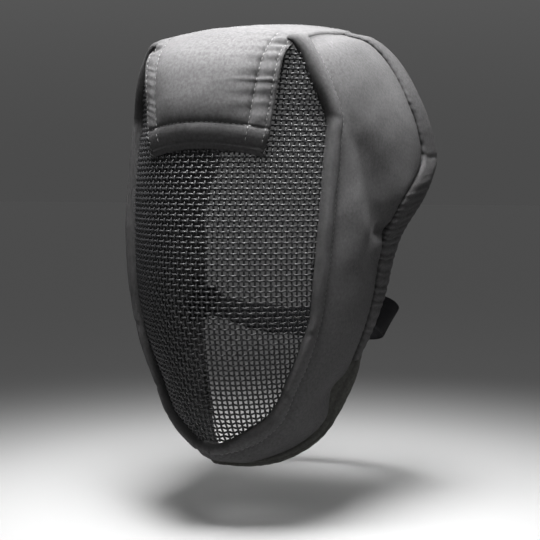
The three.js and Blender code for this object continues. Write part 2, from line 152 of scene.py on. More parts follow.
# %% [markdown]
# ## The lines that the hood is cut on
# A hood is cut from flat cloth along a few long lines. Here they are three: the edge of the mesh, the seam
# between rim and side panel, and the rear edge. Each is a short table of points from the crown down to the
# chin, in millimetres, with depth counted from the plane of the rim and height from nose level. A smooth
# curve goes through the rows, and every surface below is drawn between two of these curves.

# %% Lines of the left side
SIDE = [
    # at, edge of the mesh, seam of rim and panel, rear edge
    ("crown", (46.8, -4.6, 137.2), (48.8, 11, 141.6), (43, 98, 154.5)),
    ("hairline", (52.4, -2.2, 129.6), (56.4, 12.2, 130.4), (53, 109.7, 150.5)),
    ("forehead", (58.8, 1.6, 112), (64.9, 14.4, 112.2), (63, 119.5, 141)),
    ("temple", (64.3, 8.4, 92), (70.6, 18, 93), (73, 125, 126.5)),
    ("brow", (64.9, 6.2, 80), (70.6, 15.6, 80.5), (80, 128.6, 111.3)),
    ("above ear", (64.8, 3.2, 66), (70.3, 13.6, 66), (84.5, 135, 96)),
    ("rear corner", (64.5, 0.6, 50), (70, 10.5, 50), (87, 142.7, 73.2)),
    ("ear", (64.2, -0.8, 36), (69.8, 7.5, 35), (87.3, 133.2, 56.4)),
    ("ear lobe", (63.7, -2.1, 22), (69, 6, 20), (85.2, 123.4, 44)),
    ("narrow", (62.8, -3.2, 8), (68, 5, 5), (77.6, 104.6, 22)),
    ("cheek", (61.1, -3.6, -10), (66.5, 3.7, -9), (73, 98.7, 4)),
    ("mouth", (58.5, -2.6, -29), (63.8, 3, -28), (70.5, 93, -15)),
    ("lower cheek", (53.8, -3.8, -43.6), (60, 2, -44), (66.5, 83, -37)),
    ("jaw", (47.8, -3.6, -58), (54.7, 1.5, -58.5), (60.3, 72, -57)),
    ("lower jaw", (42.6, -3.8, -69), (50, 1, -68.5), (55.2, 63, -69)),
    ("notch top", (38.8, -3.9, -78.5), (46.3, 1, -77.5), (50.5, 51, -78.5)),
    ("notch foot", (32.2, -6.8, -88.5), (40, 0.5, -90), (47, 50, -97.5)),
    ("jaw hem", (27, -9.2, -92.4), (33, -1, -98), (38.5, 42, -109.6)),
    ("side of chin", (22, -11.3, -95.8), (26, -4, -104.2), (30, 32.5, -116)),
    ("under lip", (16.5, -13, -99.2), (19, -7.5, -107.4), (22, 21.5, -119.4)),
    ("chin curve", (11.6, -14.5, -102.5), (13.8, -10.8, -109.8), (13, 3.4, -120.7)),
    ("chin", (6.2, -16, -104.8), (7.8, -13.3, -111.7), (5.8, -6.4, -119.0)),
    ("chin seam", (0.2, -16.8, -106), (0.2, -14.6, -112.4), (0.2, -9, -118.6)),
]
LAST = len(SIDE) - 1
ROW = {row[0]: number for number, row in enumerate(SIDE)}
print(len(SIDE), "rows from", SIDE[0][0], "to", SIDE[-1][0])

# %% Padding at the same rows
PADDING = {
    # how far the panel swells outwards, and the lift of that direction in degrees
    "bulge": (2, 6, 7, 6.4, 7.2, 7.8, 7.6, 7.2, 7.2, 7.4, 7.2, 6.8,
              6.4, 6, 6, 5.5, 5, 4.2, 3.5, 3, 2.2, 1.2, 0.4),
    "lift": (70, 50, 40, 28, 20, 14, 8, 0, 0, 0, 0, -4, -8, -12, -16, -22, -35, -45, -55, -65, -80, -85, -85),
    # width of the binding, thickness of the panel, half height of the rim's roll
    "bind": (12, 14, 16, 18, 19, 20, 25.5, 45, 46, 34.5, 25.5, 20, 13, 5) + (0.4,) * 9,
    "thick": (5,) + (6,) * 17 + (5.6, 5.2, 4.8, 4.4, 4.2),
    "roll": (2.2, 3.8, 4.6, 4.8, 4.8, 4.9, 5, 5, 5, 4.9, 4.7, 4.3) + (4.1,) * 6 + (4, 3.8, 3.6, 3.5, 3.4),
    # depth of the long dent behind the temple, and its place between seam and rear edge
    "dent": (0, 0, 0, 0.5, 2.9, 5.4, 6.2, 6.1, 5.2, 1.6) + (0,) * 13,
    "dent_share": (0.1, 0.1, 0.1, 0.1, 0.14, 0.195, 0.25, 0.315, 0.385, 0.44) + (0.5,) * 13,
    # second swelling, in front of the rear corner
    "back": (0, 0, 0, 0, 0.8, 2.2, 3.2, 2.6, 0.9, 0) + (0,) * 13,
}
DENT_WIDTH = {"front": 0.10, "rear": 0.12}
BACK = {"share": 0.65, "width": 0.14}
print("padding columns:", ", ".join(PADDING))

# %% Curves through table rows


def stretch(place, count):
    """Number of the row before each place, and the share of the way from there to the next row."""
    place = np.clip(np.asarray(place, float), 0, count - 1)
    row = np.minimum(place.astype(int), count - 2)
    return row, place - row


def cubic(share, start, end, leave, arrive):
    """Cubic from start to end over a share from 0 to 1, with the slopes it leaves and arrives with."""
    cube, square = share ** 3, share ** 2
    return ((2 * cube - 3 * square + 1) * start + (cube - 2 * square + share) * leave
            + (3 * square - 2 * cube) * end + (cube - square) * arrive)


def spline(rows, place):
    """Curve through the rows of a table; place counts rows.
    Each stretch is a cubic that leaves one row and reaches the next with slopes taken from the neighbours,
    weighted by the square root of the distances, so uneven rows make no loops."""
    rows = np.asarray(rows, float)
    ends = np.vstack([2 * rows[0] - rows[1], rows, 2 * rows[-1] - rows[-2]])
    row, share = stretch(place, len(rows))
    before, start, end, after = (ends[row + step] for step in range(4))
    gaps = [np.linalg.norm(b - a, axis=-1, keepdims=True) ** 0.5 + 1e-9
            for a, b in ((before, start), (start, end), (end, after))]
    leave = (start - before) / gaps[0] - (end - before) / (gaps[0] + gaps[1]) + (end - start) / gaps[1]
    arrive = (end - start) / gaps[1] - (after - start) / (gaps[1] + gaps[2]) + (after - end) / gaps[2]
    return cubic(share[..., None], start, end, leave * gaps[1], arrive * gaps[1])


def column(values, place):
    """Value of a table column between its rows: a cubic with the mean slope of the neighbours."""
    values = np.asarray(values, float)
    slope = np.gradient(values)
    row, share = stretch(place, len(values))
    return cubic(share, values[row], values[row + 1], slope[row], slope[row + 1])


def pad(name, place):
    """Padding at places between the rows."""
    return column(PADDING[name], place)


def rim_line(place):
    """Edge of the mesh, as a curve through its column of the side table."""
    return spline([row[1] for row in SIDE], place)


def seam_line(place):
    """Seam of rim and panel, in the same way."""
    return spline([row[2] for row in SIDE], place)


def rear_line(place):
    """Rear edge, in the same way."""
    return spline([row[3] for row in SIDE], place)


print("rear corner at", rear_line(ROW["rear corner"]).round(1), "mm")

# %% [markdown]
# ## Tools for soft surfaces
# Padded cloth is a closed skin: an outer face, an inner face and a rounded edge between them. The helpers
# here measure a surface (its outward direction, the way along it) and roughen it a little, since no sewn
# cloth is truly even. A closed skin is a stack of rings, where point k of a ring lies across from point
# n - 1 - k, so an end can be drawn together like the end of a pillow.

# %% Measuring and roughening
WAVE = {"shortest": 0.7, "longest": 1.5, "calm": 1.5}
PUCKER = {"wander": 0.3, "shallowest": 0.55, "sharp": 2.2}


def unit(vectors):
    """Vectors brought to a length of one."""
    return vectors / np.maximum(np.linalg.norm(vectors, axis=-1, keepdims=True), 1e-12)


def facing(grid):
    """Outward direction of a grid whose rows run down and whose columns run back: down crossed with back."""
    return unit(np.cross(np.gradient(grid, axis=0), np.gradient(grid, axis=1)))


def way_along(points):
    """Distance travelled along a line of points."""
    steps = np.linalg.norm(np.diff(points, axis=0), axis=-1)
    return np.concatenate([[0.0], np.cumsum(steps)])


def waves(points, length, seed, count=9):
    """Soft unevenness of about -1 to 1: plane waves of about one length in seeded directions, added up."""
    draw = np.random.default_rng(seed)
    turned = unit(draw.normal(size=(count, 3)))
    lengths = length * draw.uniform(WAVE["shortest"], WAVE["longest"], count)
    start = draw.uniform(0, 2 * math.pi, count)
    angle = points @ (turned * (2 * math.pi / lengths)[:, None]).T + start
    return np.sin(angle).sum(axis=-1) / (WAVE["calm"] * math.sqrt(count))


def unevenness(points, layers):
    """Layers of waves added up, each with its height, length and seed."""
    return sum(height * waves(points, length, seed) for height, length, seed in layers)


def bump(distance, width):
    """Bell curve: 1 at no distance, fading over a width."""
    return np.exp(-(distance / width) ** 2)


def ramp(value, low, high):
    """Smooth step from 0 at low to 1 at high."""
    share = np.clip((value - low) / (high - low), 0, 1)
    return share * share * (3 - 2 * share)


def puckers(way, length, seed):
    """Cross folds along a seam: a wave whose spacing wanders, with sharper valleys than crests, -1 to 0."""
    draw = np.random.default_rng(seed)
    stops = np.arange(way.min() - 2 * length, way.max() + 3 * length, length)
    stops = stops + draw.uniform(-PUCKER["wander"], PUCKER["wander"], len(stops)) * length
    depth = draw.uniform(PUCKER["shallowest"], 1.0, len(stops))
    phase = np.interp(way, stops, np.arange(len(stops)))
    valley = np.abs(np.cos(math.pi * phase)) ** PUCKER["sharp"]
    return -valley * np.interp(way, stops, depth)


def fold_row(way, folds):
    """Cross folds with the depth, spacing and seed of their settings."""
    return folds["deep"] * puckers(way, folds["apart"], folds["seed"])


print("surface tools ready")

# %% Closed skins from rings
CAP_STEPS = 4
MIRROR = (-1, 1, 1)


def skin_faces(rings, count):
    """Quads of a stack of closed rings, as corner numbers into the grid of (rings, count + 1) places."""
    ring, side = np.meshgrid(np.arange(rings - 1), np.arange(count), indexing="ij")
    here = ring * (count + 1) + side
    return np.stack([here, here + 1, here + count + 2, here + count + 1], axis=-1).reshape(-1, 4)


def draw_together(rings, reach):
    """Adds rounded ends: rings that shrink to the middle line between their two sides along a quarter
    circle, and move outwards by the reach."""
    for end in (0, -1):
        last = rings[end]
        middle = 0.5 * (last + last[::-1])
        inner = rings[1] if end == 0 else rings[-2]
        out = unit((last - inner).mean(axis=0))
        angles = np.linspace(0, math.pi / 2, CAP_STEPS + 1)[1:, None, None]
        cap = middle + (last - middle) * np.cos(angles) + out * reach * np.sin(angles)
        rings = np.concatenate([cap[::-1], rings] if end == 0 else [rings, cap])
    return rings


def cap_marks(values):
    """The marks of the rings that draw an end together repeat those of the last ring."""
    return np.concatenate([values[:1]] * CAP_STEPS + [values] + [values[-1:]] * CAP_STEPS)


def write_marks(mesh, mark, values, used):
    """One number for every point that is used, which a material can read by its name."""
    attribute = mesh.attributes.new(mark, "FLOAT", "POINT")
    attribute.data.foreach_set("value", np.ravel(values)[used].astype(np.float32))


def texture_places(rings):
    """Metres round the rings and along them, for every corner of the grid."""
    closed = np.concatenate([rings, rings[:, :1]], axis=1)
    around = np.concatenate([np.zeros((len(rings), 1)),
                             np.cumsum(np.linalg.norm(np.diff(closed, axis=1), axis=-1), axis=1)], axis=1)
    along = way_along(rings.mean(axis=1))[:, None] + np.zeros_like(around)
    return np.stack([around, along], axis=-1) * MM


def skin(name, rings, crease, material, replaced, mirrored=False):
    """Mesh object of a stack of rings in table millimetres. The first and last ring are already drawn
    together, so the two sides of each share their points. Texture places are metres round and along."""
    count = rings.shape[1]
    number = np.arange(rings.shape[0] * count).reshape(rings.shape[0], count)
    for end in (0, -1):
        number[end] = np.minimum(number[end], number[end][::-1])
    corners = skin_faces(rings.shape[0], count)
    faces = np.concatenate([number, number[:, :1]], axis=1).ravel()[corners]
    points = (rings.reshape(-1, 3) - SEAT) * MM
    a, b, c, d = (points[faces[:, k]] for k in range(4))
    inside_out = (np.cross(c - a, d - b) * (a + b + c + d)).sum() < 0
    if mirrored:
        points = points * MIRROR
    if inside_out != mirrored:
        faces, corners = faces[:, ::-1], corners[:, ::-1]
    first_folded = faces[:, 0] == faces[:, 1]
    last_folded = faces[:, 2] == faces[:, 3]
    whole = ~(first_folded | last_folded)
    used, compact = np.unique(faces, return_inverse=True)
    compact = compact.reshape(faces.shape)
    uv = texture_places(rings).reshape(-1, 2)
    lists, places = [], []
    for chosen, kept in ((whole, [0, 1, 2, 3]), (first_folded, [0, 2, 3]), (last_folded, [0, 1, 2])):
        lists += compact[chosen][:, kept].tolist()
        places.append(uv[corners[chosen][:, kept].ravel()])
    mesh = bpy.data.meshes.new(name)
    mesh.from_pydata(points[used].tolist(), [], lists)
    layer = mesh.uv_layers.new(name="cloth_uv")
    layer.data.foreach_set("uv", np.concatenate(places).astype(np.float32).ravel())
    # Painted shade of the creases, which the cloth's colour reads.
    write_marks(mesh, "crease", cap_marks(crease), used)
    return finish_piece(name, mesh, material, replaced)


def finish_piece(name, mesh, material, replaced):
    """Object with smooth faces and a material, riding on the part and standing for its solids."""
    mesh.materials.append(material)
    mesh.shade_smooth()
    mesh.validate()
    piece = bpy.data.objects.new(name, mesh)
    bpy.context.scene.collection.objects.link(piece)
    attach(piece, "root")
    if replaced:
        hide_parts(*replaced)
    triangles = sum(len(face.vertices) - 2 for face in mesh.polygons)
    print(f"{name}: {triangles} triangles")
    return piece


print("skins ready")

# %% [markdown]
# ## Cloth under its filling
# Padded cloth takes its form from the filling that presses outwards and from the seams that hold it back. A
# cloth simulation finds that form: a coarse sheet is pinned where it is sewn, given a little spare length,
# and pressed from inside without gravity. Only the movement outwards is kept. The fine surfaces further down
# take it on as relief, so their seams stay in place and their grids stay even.

# %% Settling a sheet of cloth
SETTLE = {"frames": 20, "quality": 5, "mass": 0.25, "stiff": 12.0, "bend": 0.3, "damp": 8.0, "pressure": 4.0,
          "evened": 6}


def settle(grid, sewn, spare, cap):
    """Movement outwards, in millimetres up to a cap, of a sheet that is pinned where it is sewn. The rows of
    the grid run down and its columns back; spare is the share of length that the cloth has too much."""
    number = np.arange(sewn.size).reshape(sewn.shape)
    quads = np.stack([number[:-1, :-1], number[1:, :-1], number[1:, 1:], number[:-1, 1:]], axis=-1)
    mesh = bpy.data.meshes.new("sheet")
    mesh.from_pydata((grid.reshape(-1, 3) * MM).tolist(), [], quads.reshape(-1, 4).tolist())
    sheet = bpy.data.objects.new("sheet", mesh)
    bpy.context.scene.collection.objects.link(sheet)
    sheet.vertex_groups.new(name="sewn").add(np.flatnonzero(sewn).tolist(), 1.0, "REPLACE")
    modifier = sheet.modifiers.new("cloth", "CLOTH")
    soft = modifier.settings
    soft.vertex_group_mass = "sewn"
    soft.quality = SETTLE["quality"]
    soft.mass = SETTLE["mass"]
    soft.tension_stiffness = soft.compression_stiffness = SETTLE["stiff"]
    soft.bending_stiffness = SETTLE["bend"]
    soft.tension_damping = soft.compression_damping = SETTLE["damp"]
    soft.use_pressure = True
    soft.uniform_pressure_force = SETTLE["pressure"]
    soft.shrink_min = -spare
    soft.effector_weights.gravity = 0
    modifier.point_cache.frame_end = SETTLE["frames"]
    for step in range(1, SETTLE["frames"] + 1):
        bpy.context.scene.frame_set(step)
    rested = sheet.evaluated_get(bpy.context.evaluated_depsgraph_get())
    places = np.empty(3 * sewn.size, np.float32)
    rested.data.vertices.foreach_get("co", places)
    moved = ((places.reshape(grid.shape) / MM - grid) * facing(grid)).sum(axis=-1)
    bpy.data.objects.remove(sheet)
    bpy.data.meshes.remove(mesh)
    bpy.context.scene.frame_set(1)
    return np.where(sewn, 0.0, evened(np.clip(moved, -cap, cap), SETTLE["evened"]))


def evened(field, passes):
    """Grid of values where every pass takes the mean of a point, counted twice, and its two neighbours."""
    for _ in range(passes):
        wider = np.pad(field, 1, mode="edge")
        field = 0.25 * (wider[:-2, 1:-1] + 2 * wider[1:-1, 1:-1] + wider[2:, 1:-1])
        wider = np.pad(field, 1, mode="edge")
        field = 0.25 * (wider[1:-1, :-2] + 2 * wider[1:-1, 1:-1] + wider[1:-1, 2:])
    return field


def between(field, row, across):
    """Value of a coarse grid at places between its points, from cubics through the four nearest rows and
    columns."""
    def weights(share):
        return (-0.5 * share + share ** 2 - 0.5 * share ** 3, 1 - 2.5 * share ** 2 + 1.5 * share ** 3,
                0.5 * share + 2 * share ** 2 - 1.5 * share ** 3, -0.5 * share ** 2 + 0.5 * share ** 3)

    low_row, low_across = np.floor(row).astype(int), np.floor(across).astype(int)
    total = 0
    for i, down_weight in enumerate(weights(row - low_row)):
        for j, side_weight in enumerate(weights(across - low_across)):
            at_row = np.clip(low_row + i - 1, 0, field.shape[0] - 1)
            at_across = np.clip(low_across + j - 1, 0, field.shape[1] - 1)
            total = total + down_weight * side_weight * field[at_row, at_across]
    return total


print("cloth settles over", SETTLE["frames"], "frames")

# %% [markdown]
# ## Finishes
# The cloth is a plain polyester twill. Its look has four scales: the diagonal ribs of the weave, well under
# a millimetre, flecks of single threads, a mottle of a few millimetres, and broad cloudiness from handling.
# The ribs and flecks are one node group and the toning another, because panels, tapes, hems and webbing all
# use them with their own values. The toning also paints shade into creases, seams and inner faces, from a
# mark that each piece carries. The weave reads the piece's own texture map, in metres, so it follows the
# cut of the cloth.

# %% Node tools


def add_node(tree, kind, settings=None, **inputs):
    """Node with its settings. An input is a value or another node's output; _0 names an input by number."""
    made = tree.nodes.new("ShaderNode" + kind)
    for key, value in (settings or {}).items():
        setattr(made, key, value)
    for key, value in inputs.items():
        socket = made.inputs[int(key[1:])] if key[0] == "_" else made.inputs[key.replace("_", " ")]
        if isinstance(value, bpy.types.NodeSocket):
            tree.links.new(value, socket)
        else:
            socket.default_value = value
    return made


def math_node(tree, operation, *values):
    """Output of a Math node on the given values."""
    inputs = {f"_{number}": value for number, value in enumerate(values)}
    return add_node(tree, "Math", {"operation": operation}, **inputs).outputs[0]


def noise_node(tree, place, scale, detail):
    """Factor of a noise at a place."""
    return add_node(tree, "TexNoise", Vector=place, Scale=scale, Detail=detail).outputs["Fac"]


def blend_node(tree, share, first, second):
    """Colour that goes from the first to the second with a share."""
    return add_node(tree, "Mix", {"data_type": "RGBA"}, _0=share, _6=first, _7=second).outputs[2]


def object_spot(tree):
    """Place on the object, in metres."""
    return add_node(tree, "TexCoord").outputs["Object"]


def new_group(name, inputs, outputs):
    """Empty node group with named sockets, and its input and output nodes."""
    tree = bpy.data.node_groups.new(name, "ShaderNodeTree")
    for label, kind in inputs:
        tree.interface.new_socket(label, in_out="INPUT", socket_type="NodeSocket" + kind)
    for label, kind in outputs:
        tree.interface.new_socket(label, in_out="OUTPUT", socket_type="NodeSocket" + kind)
    return tree, tree.nodes.new("NodeGroupInput").outputs, tree.nodes.new("NodeGroupOutput").inputs


print("node tools ready")

# %% Weave group: ribs and flecks
TWILL = {"turn": 6.283, "cross_turn": 9.42, "cross": 0.35, "drawn": (0.9, 0.22, 1.0), "fleck": 1.6}
MM_A_METRE = 1000.0


def weave_group():
    """Height is a diagonal rib crossed by a finer one. Fleck is a noise drawn out along the threads."""
    tree, given, put = new_group("weave", [("Place", "Vector"), ("Rib", "Float")],
                                 [("Height", "Float"), ("Fleck", "Float")])
    per_metre = math_node(tree, "DIVIDE", MM_A_METRE, given["Rib"])
    ribs = add_node(tree, "VectorMath", {"operation": "SCALE"}, _0=given["Place"], Scale=per_metre).outputs[0]
    part = add_node(tree, "SeparateXYZ", Vector=ribs).outputs

    def diagonal(operation, turn):
        way = math_node(tree, operation, part[0], part[1])
        return math_node(tree, "SINE", math_node(tree, "MULTIPLY", way, turn))

    rising = diagonal("ADD", TWILL["turn"])
    falling = diagonal("SUBTRACT", TWILL["cross_turn"])
    crossed = math_node(tree, "MULTIPLY_ADD", falling, TWILL["cross"], rising)
    drawn = add_node(tree, "VectorMath", {"operation": "MULTIPLY"}, _0=ribs, _1=TWILL["drawn"]).outputs[0]
    fleck = noise_node(tree, drawn, 1.0, 2.0)
    tree.links.new(math_node(tree, "MULTIPLY_ADD", fleck, TWILL["fleck"], crossed), put["Height"])
    tree.links.new(fleck, put["Fleck"])
    return tree


WEAVE = weave_group()
print("group:", WEAVE.name)

# %% Tone group: clouds, mottle, flecks and painted shade in creases
CLOUDS = {"scale": 38.0, "detail": 3.0, "span": 0.26, "least": 0.87}
MOTTLE = {"scale": 560.0, "detail": 2.0, "span": 0.95, "least": 0.525}
FLECKS = {"span": 0.5, "least": 0.75}
# Painted shade: creases, seams and other recesses are darkened in the colour by up to this share.
PAINTED_CREASE_SHADE = 0.6


def tone_group():
    """Colour is the cloth's own, times clouds of a few centimetres, a mottle of a few millimetres, flecks,
    and a painted shade that darkens creases, seams and other recesses."""
    tree, given, put = new_group("cloth_tone", [("Colour", "Color"), ("Spot", "Vector"), ("Fleck", "Float"),
                                                ("Crease", "Float")], [("Colour", "Color")])

    def patches(look):
        noise = noise_node(tree, given["Spot"], look["scale"], look["detail"])
        return math_node(tree, "MULTIPLY_ADD", noise, look["span"], look["least"])

    shade = math_node(tree, "MULTIPLY", patches(CLOUDS), patches(MOTTLE))
    flecked = math_node(tree, "MULTIPLY_ADD", given["Fleck"], FLECKS["span"], FLECKS["least"])
    # Share of the colour left after the painted shade of creases.
    after_painted_shade = math_node(tree, "MULTIPLY_ADD", given["Crease"], -PAINTED_CREASE_SHADE, 1.0)
    for share in (flecked, after_painted_shade):
        shade = math_node(tree, "MULTIPLY", shade, share)
    toned = add_node(tree, "VectorMath", {"operation": "SCALE"}, _0=given["Colour"], Scale=shade).outputs[0]
    tree.links.new(toned, put["Colour"])
    return tree


TONE = tone_group()
print("group:", TONE.name)

# %% Cloth, tape and webbing
WEAVE_STRENGTH = 0.7


def cloth(name, colour, rib, rough, gloss, rise):
    """Woven finish: the groups give colour and height, the shader keeps roughness and gloss as numbers. The
    rib is in millimetres, and the rise of the weave in metres."""
    material, tree, shader = new_material(name)
    map_place = add_node(tree, "UVMap", {"uv_map": "cloth_uv"}).outputs[0]
    # Painted shade of creases, seams and inner faces, carried as a mark on each piece.
    crease = add_node(tree, "Attribute", {"attribute_name": "crease"}).outputs["Fac"]
    weave = add_node(tree, "Group", {"node_tree": WEAVE}, Place=map_place, Rib=rib).outputs
    tone = add_node(tree, "Group", {"node_tree": TONE}, Colour=colour, Spot=object_spot(tree),
                    Fleck=weave["Fleck"], Crease=crease).outputs
    relief = add_node(tree, "Bump", Strength=WEAVE_STRENGTH, Distance=rise, Height=weave["Height"]).outputs[0]
    tree.links.new(tone["Colour"], shader.inputs["Base Color"])
    tree.links.new(relief, shader.inputs["Normal"])
    shader.inputs["Roughness"].default_value = rough
    shader.inputs["Specular IOR Level"].default_value = gloss
    return material


GREY_CLOTH = cloth("grey_twill", (0.060, 0.059, 0.060, 1), rib=0.62, rough=0.82, gloss=0.15, rise=0.00008)
GREY_TAPE = cloth("grey_tape", (0.055, 0.054, 0.055, 1), rib=0.70, rough=0.84, gloss=0.15, rise=0.00009)
HEM_CLOTH = cloth("hem_cloth", (0.054, 0.054, 0.050, 1), rib=1.05, rough=0.90, gloss=0.10, rise=0.00018)
WEBBING = cloth("black_webbing", (0.006, 0.006, 0.007, 1), rib=1.6, rough=0.75, gloss=0.06, rise=0.00030)
print("cloth finishes:", GREY_CLOTH.name, GREY_TAPE.name, HEM_CLOTH.name, WEBBING.name)

# %% Painted wire and thread
# The grey on the outward crests is wear, and also a painted highlight where the crests catch the light.
PAINT = {"black": (0.006, 0.006, 0.007, 1), "wear_and_glint": (0.16, 0.16, 0.165, 1), "patch": 260.0, "stray": 0.5,
         "worn_from": 0.95, "worn_to": 1.45, "most": 0.28, "rough": 0.36, "rougher": 0.25, "gloss": 0.45}
TWIST = {"scale": 1500.0, "strength": 0.5, "rise": 0.0001, "rough": 0.6}


def painted_wire():
    """Black paint, worn to grey on the outward crests of the weave, where that paler grey is also a painted
    highlight. The mark crest runs from -1 inside to 1 outside."""
    material, tree, shader = new_material("painted_wire")
    crest = add_node(tree, "Attribute", {"attribute_name": "crest"}).outputs["Fac"]
    patch = noise_node(tree, object_spot(tree), PAINT["patch"], 2.0)
    reached = math_node(tree, "MULTIPLY_ADD", patch, PAINT["stray"], crest)
    wear_and_glint = add_node(tree, "MapRange", {"interpolation_type": "SMOOTHSTEP"}, Value=reached, To_Min=0.0,
                    From_Min=PAINT["worn_from"], From_Max=PAINT["worn_to"], To_Max=PAINT["most"]).outputs[0]
    tree.links.new(blend_node(tree, wear_and_glint, PAINT["black"], PAINT["wear_and_glint"]), shader.inputs["Base Color"])
    rough = math_node(tree, "MULTIPLY_ADD", patch, PAINT["rougher"], PAINT["rough"])
    tree.links.new(rough, shader.inputs["Roughness"])
    shader.inputs["Specular IOR Level"].default_value = PAINT["gloss"]
    return material


def thread_finish(name, dark, light):
    """Sewing thread between two greys, with the unevenness of its twist."""
    material, tree, shader = new_material(name)
    twist = noise_node(tree, object_spot(tree), TWIST["scale"], 1.0)
    colour = blend_node(tree, twist, (dark, dark, dark, 1), (light, light, light, 1))
    tree.links.new(colour, shader.inputs["Base Color"])
    relief = add_node(tree, "Bump", Strength=TWIST["strength"], Distance=TWIST["rise"],
                      Height=twist).outputs[0]
    tree.links.new(relief, shader.inputs["Normal"])
    shader.inputs["Roughness"].default_value = TWIST["rough"]
    return material


WIRE = painted_wire()
PALE_THREAD = thread_finish("pale_thread", 0.08, 0.17)
DARK_THREAD = thread_finish("dark_thread", 0.07, 0.13)
print("finishes:", WIRE.name, PALE_THREAD.name, DARK_THREAD.name)

# %% [markdown]
# ## The wire bowl
# The mesh is plain woven steel wire, pressed into a bowl and painted black. A flat texture would miss what
# makes it look like wire: each strand rides over and under its neighbours and only the crests catch the
# light. So every strand is a thin tube. Level strands keep one height each, upright strands keep one
# distance along the bowl from its middle line, and both swing in and out of the bowl's surface, out of
# step with each other.

# %% Bowl surface
PROFILE = [
    # height, depth of the foremost line
    (142, -5), (132, -11), (124, -15.4), (112, -20.2), (100, -24), (75, -30.5), (45, -36.5), (20, -39.5),
    (-4, -40), (-25, -38.5), (-48, -35), (-70, -30.5), (-90, -24.5), (-106, -17.3),
]
NET = {"pitch": 3.2, "wire": 1.36, "top": 132.5, "bottom": -104.0, "tucked": 2.4, "inset": 0.7, "steps": 4,
       "sides": 6}
NEWTON = {"guess": 0.9, "steps": 7}


def bowl_sections(height):
    """Level sections of the bowl: foremost depth, half width, and the curve factor of the parabola that
    runs from the foremost line back to the rim."""
    fine = np.linspace(0, LAST, 2000)
    edge = rim_line(fine)
    edge = rim_line(np.interp(-height, -edge[:, 2], fine))
    rows = np.array(PROFILE, float)
    place = np.interp(-height, -rows[:, 0], np.arange(len(rows)))
    front = spline(rows[:, ::-1], place)[..., 0]
    half = edge[..., 0] - NET["inset"]
    return front, half, (edge[..., 1] - front) / half ** 2


def parabola_way(x, curve):
    """Length of a parabola of that curve factor from its tip to x."""
    slope = 2 * curve * x
    return 0.5 * x * np.sqrt(1 + slope ** 2) + np.arcsinh(slope) / (4 * curve)


def bowl_point(height, way):
    """Point at a height and a distance along the level section, by Newton steps on the parabola's length."""
    front, _, curve = bowl_sections(height)
    x = way * NEWTON["guess"]
    for _ in range(NEWTON["steps"]):
        x = x - (parabola_way(x, curve) - way) / np.sqrt(1 + (2 * curve * x) ** 2)
    return np.stack([x, front + curve * x ** 2, height + 0 * x], axis=-1)


fine_heights = np.linspace(NET["top"], NET["bottom"], 1500)
meridian = np.stack([bowl_sections(fine_heights)[0], fine_heights], axis=-1)
fall = way_along(meridian)
ROWS = int(fall[-1] / NET["pitch"])
row_steps = np.arange(ROWS * NET["steps"] + 1) / NET["steps"]
HEIGHTS = np.interp(row_steps * NET["pitch"], fall, fine_heights)
_, section_half, section_curve = bowl_sections(HEIGHTS)
REACH = parabola_way(section_half, section_curve) + NET["tucked"]
COLUMNS = int(REACH.max() / NET["pitch"]) + 1
print(ROWS + 1, "level strands and", 2 * COLUMNS + 1, "upright strands")

# %% Strands as tubes


def tube_rings(centres, outward, radius, sides):
    """Rings of points round rows of centres, square to the way along each row."""
    along = unit(np.gradient(centres, axis=1))
    beside = unit(np.cross(along, outward))
    upward = np.cross(beside, along)
    angles = (np.arange(sides) * 2 * math.pi / sides)[:, None]
    ring = beside[:, :, None] * np.cos(angles) + upward[:, :, None] * np.sin(angles)
    return centres[:, :, None] + radius * ring


def tube_mesh(name, rings, inside, material, replaced, crest=None, mirrored=False):
    """Tubes from rows of rings. Only the stretches that lie inside are kept, and both ends are closed."""
    number = np.arange(rings[..., 0].size).reshape(rings.shape[:3])
    turned = np.roll(number, -1, axis=2)
    both = inside[:, :-1] & inside[:, 1:]
    corners = [number[:, :-1], number[:, 1:], turned[:, 1:], turned[:, :-1]]
    quads = np.stack(corners, axis=-1)[both].reshape(-1, 4)
    before = np.pad(inside, ((0, 0), (1, 0)))[:, :-1]
    after = np.pad(inside, ((0, 0), (0, 1)))[:, 1:]
    caps = np.concatenate([number[inside & ~before & after], number[inside & before & ~after][:, ::-1]])
    points = (rings.reshape(-1, 3) - SEAT) * MM
    if mirrored:
        points, quads, caps = points * MIRROR, quads[:, ::-1], caps[:, ::-1]
    used = np.unique(quads)
    compact = np.zeros(number.size, int)
    compact[used] = np.arange(len(used))
    mesh = bpy.data.meshes.new(name)
    mesh.from_pydata(points[used].tolist(), [], compact[quads].tolist() + compact[caps].tolist())
    if crest is not None:
        write_marks(mesh, "crest", crest, used)
    return finish_piece(name, mesh, material, replaced)


def strands(name, centres, swing, inside):
    """Wires along rows of bowl points. Each centre moves outwards, to the front, by its swing times the
    wire's radius, and crest tells how far outside a point of the wire lies, from -1 to 1."""
    radius = NET["wire"] / 2
    outward = facing(centres)
    outward = outward * -np.sign(outward[..., 1:2])
    middle = centres + outward * (swing * radius)[..., None]
    rings = tube_rings(middle, outward, radius, NET["sides"])
    crest = 0.5 * ((rings - middle[:, :, None]) * outward[:, :, None]).sum(axis=-1) / radius
    crest = crest + 0.5 * swing[..., None]
    tube_mesh(name, rings, inside, WIRE, ["face_mesh"], crest)


column_number = np.arange(-COLUMNS, COLUMNS + 1)
upright = bowl_point(HEIGHTS[None, :], column_number[:, None] * NET["pitch"])
upright_swing = np.cos(math.pi * row_steps)[None, :] * (-1.0) ** np.abs(column_number)[:, None]
upright_inside = np.abs(column_number)[:, None] * NET["pitch"] <= REACH[None, :]
strands("upright_wires", upright, upright_swing, upright_inside)

